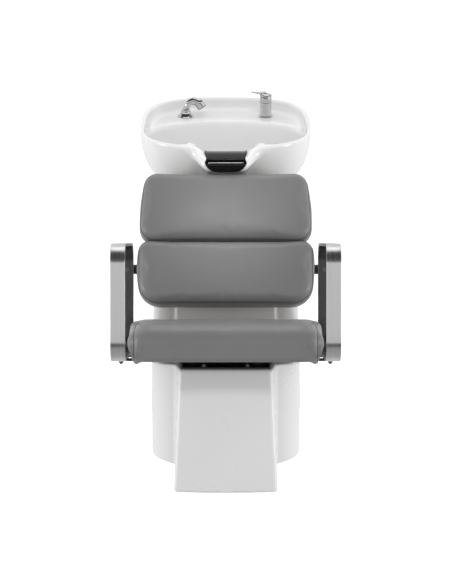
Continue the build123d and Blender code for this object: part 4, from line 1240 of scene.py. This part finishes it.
def build_light():
    """A white studio: matt surfaces get an even light, glossy ones a dark front with a strip."""
    world = bpy.data.worlds.new("studio")
    bpy.context.scene.world = world
    world.use_nodes = True
    world.node_tree.nodes.clear()
    sky = Nodes(world.node_tree)
    path = sky.node("ShaderNodeLightPath").outputs
    where = sky.node("ShaderNodeTexCoord").outputs["Generated"]
    parts = sky.node("ShaderNodeSeparateXYZ", {"Vector": where}).outputs

    def background(colour=(1, 1, 1, 1), strength=1.0):
        inputs = {"Color": colour, "Strength": strength}
        return sky.node("ShaderNodeBackground", inputs).outputs["Background"]

    def mixed(share, first, second):
        inputs = {"Fac": share, 1: first, 2: second}
        return sky.node("ShaderNodeMixShader", inputs).outputs["Shader"]

    height = sky.ranged(parts["Z"], 0, 1, -1, 1)
    matt = background(sky_ramp(sky, height, DIFFUSE_SKY),
                      sky.ranged(parts["Y"], FRONT_SHARE, BACK_SHARE, -1, 1))
    glossy = mixed(
        sky.ranged(parts["Y"], 0, 1, -0.05, 0.35),
        background(sky_ramp(sky, height, GLOSSY_FRONT)),
        background(sky_ramp(sky, height, GLOSSY_BACK)),
    )
    lit = mixed(path["Is Glossy Ray"], matt, glossy)
    sky.node("ShaderNodeOutputWorld", {"Surface": mixed(path["Is Camera Ray"], lit, background())})
    softbox("top_light", (0, 0.1, 3.4), (0, 0, 0.6), 2.4, 1.6, 14)
    front = softbox("front_light", (0, -2.6, 3.6), (0, 0, 0.7), 0.9, 0.7, 38)
    front.visible_glossy = False
    for side in (-1, 1):
        at = (side * 2.6, -0.7, 0.5)
        softbox(f"side_light_{side + 1}", at, (0, 0, 0.45), 0.9, 0.7, 13)
    glow("back_glow", (0, -2.2, 2.5), (0, -0.03, 0.735), 8.5, 75)
    glow("seat_glow", (0, -0.7, 3.1), (0, -0.17, 0.46), 8.5, 70)


PHOTO_WIDTH, PHOTO_HEIGHT = 452, 584
SENSOR = 36
LENS = 117.86
CAMERA_AT = (0.0007, -5.55, 1.436)
LOOKS_DOWN = 10  # degrees


def build_camera():
    """The photo's view: from the front, a little above."""
    camera = bpy.data.cameras.new("camera")
    camera.sensor_fit = "VERTICAL"
    camera.sensor_height = SENSOR
    camera.sensor_width = SENSOR * PHOTO_WIDTH / PHOTO_HEIGHT
    camera.lens = LENS
    camera.clip_end = 200
    made = linked("camera", camera)
    made.location = CAMERA_AT
    made.rotation_euler = (math.radians(90 - LOOKS_DOWN), 0, 0)
    bpy.context.scene.camera = made


build_camera()
build_hose()
build_base()
build_bowl()
build_neck_rest()
for arm in ("arm_loop_left", "arm_loop_right"):
    build_arm(arm)
build_seat()
build_back("back_lower_upholstery", "back_lower_cushion", LOWER_SHAPE, LOWER)
build_back("back_upper_upholstery", "back_upper_cushion", UPPER_SHAPE, UPPER)
build_mixer()
build_shower()
build_stage()
build_light()
bpy.context.scene.view_settings.view_transform = "Standard"
